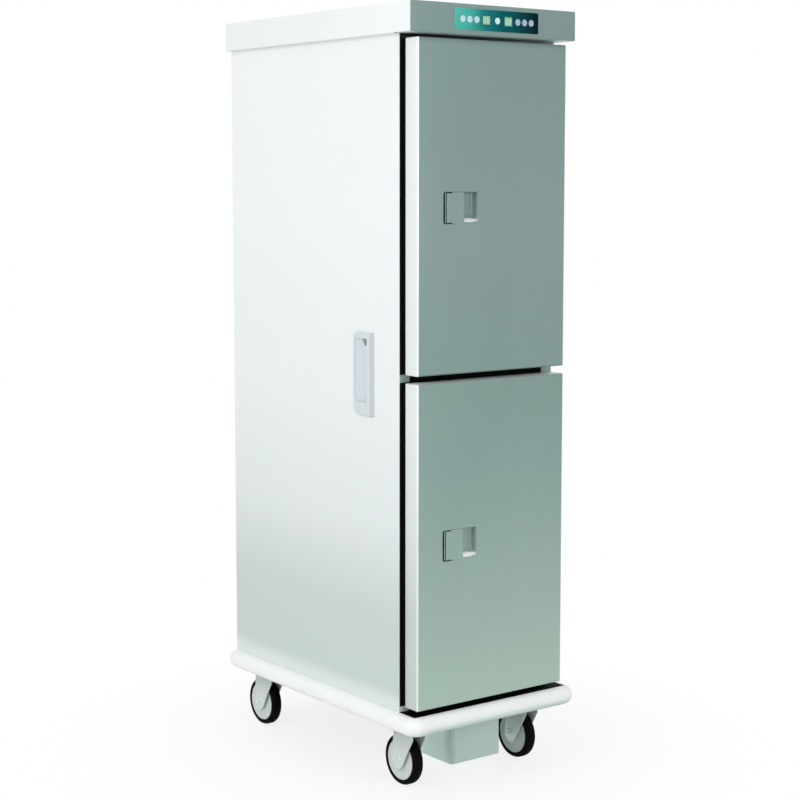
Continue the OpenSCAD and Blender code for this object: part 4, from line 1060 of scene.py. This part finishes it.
def base_bolts():
    """Hexagon heads with washers, under the caster plates."""
    r, h = 6.0, 6.0
    washer = [(r * 1.25, 0), (r * 1.25, 1.0), (r * 1.15, 1.2), (0, 1.2)]
    head = [(r, 1.0), (r, h - 0.6), (r * 0.86, h), (0, h)]
    bm = bmesh.new()
    for sx, sy in CORNERS.values():
        for dx in (-30, 30):
            for dy in (-40, 40):
                point = Vector((sx * CASTER_X + dx, sy * CASTER_Y + dy, 149)) * MM
                add_lathe(bm, washer, point, "Z", 24, -1)
                add_lathe(bm, head, point, "Z", 6, -1)
    finish_mesh("caster_bolts", bm, [M["bolt"]], "cabinet", angle=25)


def rear_screws():
    """Screws round the edge of the rear sheet, and three in the rear of the cover."""
    places = [(at(x, BODY_D, z), (0, 1, 0)) for x in (12, 120, 227.5, 335, 443) for z in (206, 1720)]
    places += [(at(x, BODY_D, z), (0, 1, 0)) for x in (12, 443) for z in (420, 640, 860, 1080, 1300, 1510)]
    places += [(at(x, BODY_D + CAP_REAR, CAP_Z + 18), (0, 1, 0)) for x in (40, 227.5, 415)]
    screws("rear_screws", places, 3.4, "cabinet")


def hinge_screws():
    """Four screws in each hinge leaf."""
    for side in SIDES:
        places = [(at(444, -37 + dy, DOOR_Z[side] + h + dz), (1, 0, 0))
                  for h in (90, DOOR_H - 90) for dz in (-18, 18) for dy in (-12, 12)]
        screws(f"{side}_hinge_screws", places, 2.6, f"{side}_door")


def baffle_screws():
    """Eight screws in each air baffle."""
    places = []
    for side in SIDES:
        z0, z1 = cell_span(side)
        places += [(at(x, 588, z), (0, -1, 0)) for x in (CELL_X + 12, BODY_W - CELL_X - 12)
                   for z in (z0 + 16, (z0 + z1) / 2 - 30, (z0 + z1) / 2 + 30, z1 - 16)]
    screws("baffle_screws", places, 3.0, "cabinet")


base_bolts()
rear_screws()
hinge_screws()
baffle_screws()


# Nodes that keep their shape from the frame

KEPT = {
    "side": ("left_side_panel", "right_side_panel", "rear_panel", "roof_panel"),
    "foam": ("wall_insulation", "upper_door_core", "lower_door_core"),
    # The chassis is black-coated, and its black also paints the shade in the gap under the lower door.
    "paint": ("chassis",),
    "white": ("bumper",),
    "board": ("circuit_boards",),
    "motor": ("fan_motors",),
    "element": ("heating_elements",),
    "inner": ("air_baffles", "upper_door_panel", "lower_door_panel"),
    "box": ("electrics_box",),
    "black": ("cable_gland",),
    "zinc": ("hinge_brackets", "door_keepers", "caster_plates", "upper_door_hinges", "lower_door_hinges",
             "upper_latch_bolt", "lower_latch_bolt"),
    "alu": ("upper_fan_wheel", "lower_fan_wheel"),
}
for key, names in KEPT.items():
    for node in names:
        NODES[node].data.materials.clear()
        NODES[node].data.materials.append(M[key])


# Stage, light and camera

def seen_rays(nt):
    """1 for rays that see the background: straight on, in gloss or through glass."""
    path = nt.nodes.new("ShaderNodeLightPath")
    seen = path.outputs["Is Camera Ray"]
    for kind in ("Is Glossy Ray", "Is Transmission Ray"):
        seen = math_node(nt, "MAXIMUM", seen, path.outputs[kind])
    return seen


def stage():
    """Pale floor that keeps the shadow near the object and fades to the white background further out."""
    bm = bmesh.new()
    bmesh.ops.create_grid(bm, x_segments=8, y_segments=8, size=14)
    ob = scene_object("floor", bm)
    mat, nt, bsdf = new_mat("floor_white", grey(0.93), 0.8)
    tone = ramp(nt, noise(nt, (1.5, 1.5, 1.5), 2.0), [(0.3, grey(0.94)), (0.7, grey(0.95))])
    nt.links.new(tone, bsdf.inputs["Base Color"])
    tex = nt.nodes.new("ShaderNodeTexCoord")
    far = nt.nodes.new("ShaderNodeVectorMath")
    far.operation = "LENGTH"
    nt.links.new(tex.outputs["Object"], far.inputs[0])
    fade = span(nt, far.outputs["Value"], 0.82, 1.0, 0.35, 1.0, True)
    glow = nt.nodes.new("ShaderNodeEmission")
    either = nt.nodes.new("ShaderNodeMixShader")
    nt.links.new(math_node(nt, "MULTIPLY", fade, seen_rays(nt)), either.inputs[0])
    nt.links.new(bsdf.outputs[0], either.inputs[1])
    nt.links.new(glow.outputs[0], either.inputs[2])
    nt.links.new(either.outputs[0], nt.nodes["Material Output"].inputs["Surface"])
    ob.data.materials.append(mat)


def world():
    """White where it is seen, softer where it lights the object."""
    sky = bpy.data.worlds.new("world")
    bpy.context.scene.world = sky
    sky.use_nodes = True
    nt = sky.node_tree
    back = nt.nodes["Background"]
    back.inputs["Color"].default_value = (1, 1, 1, 1)
    nt.links.new(span(nt, seen_rays(nt), 0.62, 1.0, 0.0, 1.0), back.inputs["Strength"])


def area(name, loc, target, size, watts):
    """Square lamp at loc, turned toward target."""
    lamp = bpy.data.lights.new(name, "AREA")
    lamp.shape = "RECTANGLE"
    lamp.size = size
    lamp.size_y = size
    lamp.energy = watts
    ob = bpy.data.objects.new(name, lamp)
    bpy.context.scene.collection.objects.link(ob)
    ob.location = loc
    ob.rotation_euler = (Vector(target) - Vector(loc)).to_track_quat("-Z", "Y").to_euler()


def camera():
    """At the photograph's viewing angle, worked out from its edges."""
    lens = bpy.data.cameras.new("camera")
    lens.sensor_width = 36.0
    lens.sensor_fit = "HORIZONTAL"
    focal_px, width_px = 1811.0, 800.0
    lens.lens = focal_px / width_px * lens.sensor_width
    lens.shift_y = -0.025
    lens.clip_end = 100
    ob = bpy.data.objects.new("camera", lens)
    bpy.context.scene.collection.objects.link(ob)
    ob.location = (-2.6563, -3.5693, 1.4042)
    yaw, pitch = math.radians(36.83), math.radians(-6.22)
    look = Vector((math.sin(yaw) * math.cos(pitch), math.cos(yaw) * math.cos(pitch), math.sin(pitch)))
    ob.rotation_euler = look.to_track_quat("-Z", "Y").to_euler()
    bpy.context.scene.camera = ob


stage()
world()
area("key", (-3.9, -0.8, 2.7), (0, 0, 0.9), 2.6, 62)
area("fill", (-0.4, -4.4, 1.8), (0, 0, 0.8), 2.6, 34)
area("top", (0, 0, 4.2), (0, 0, 0), 3.0, 12)
camera()
bpy.context.scene.view_settings.view_transform = "Standard"
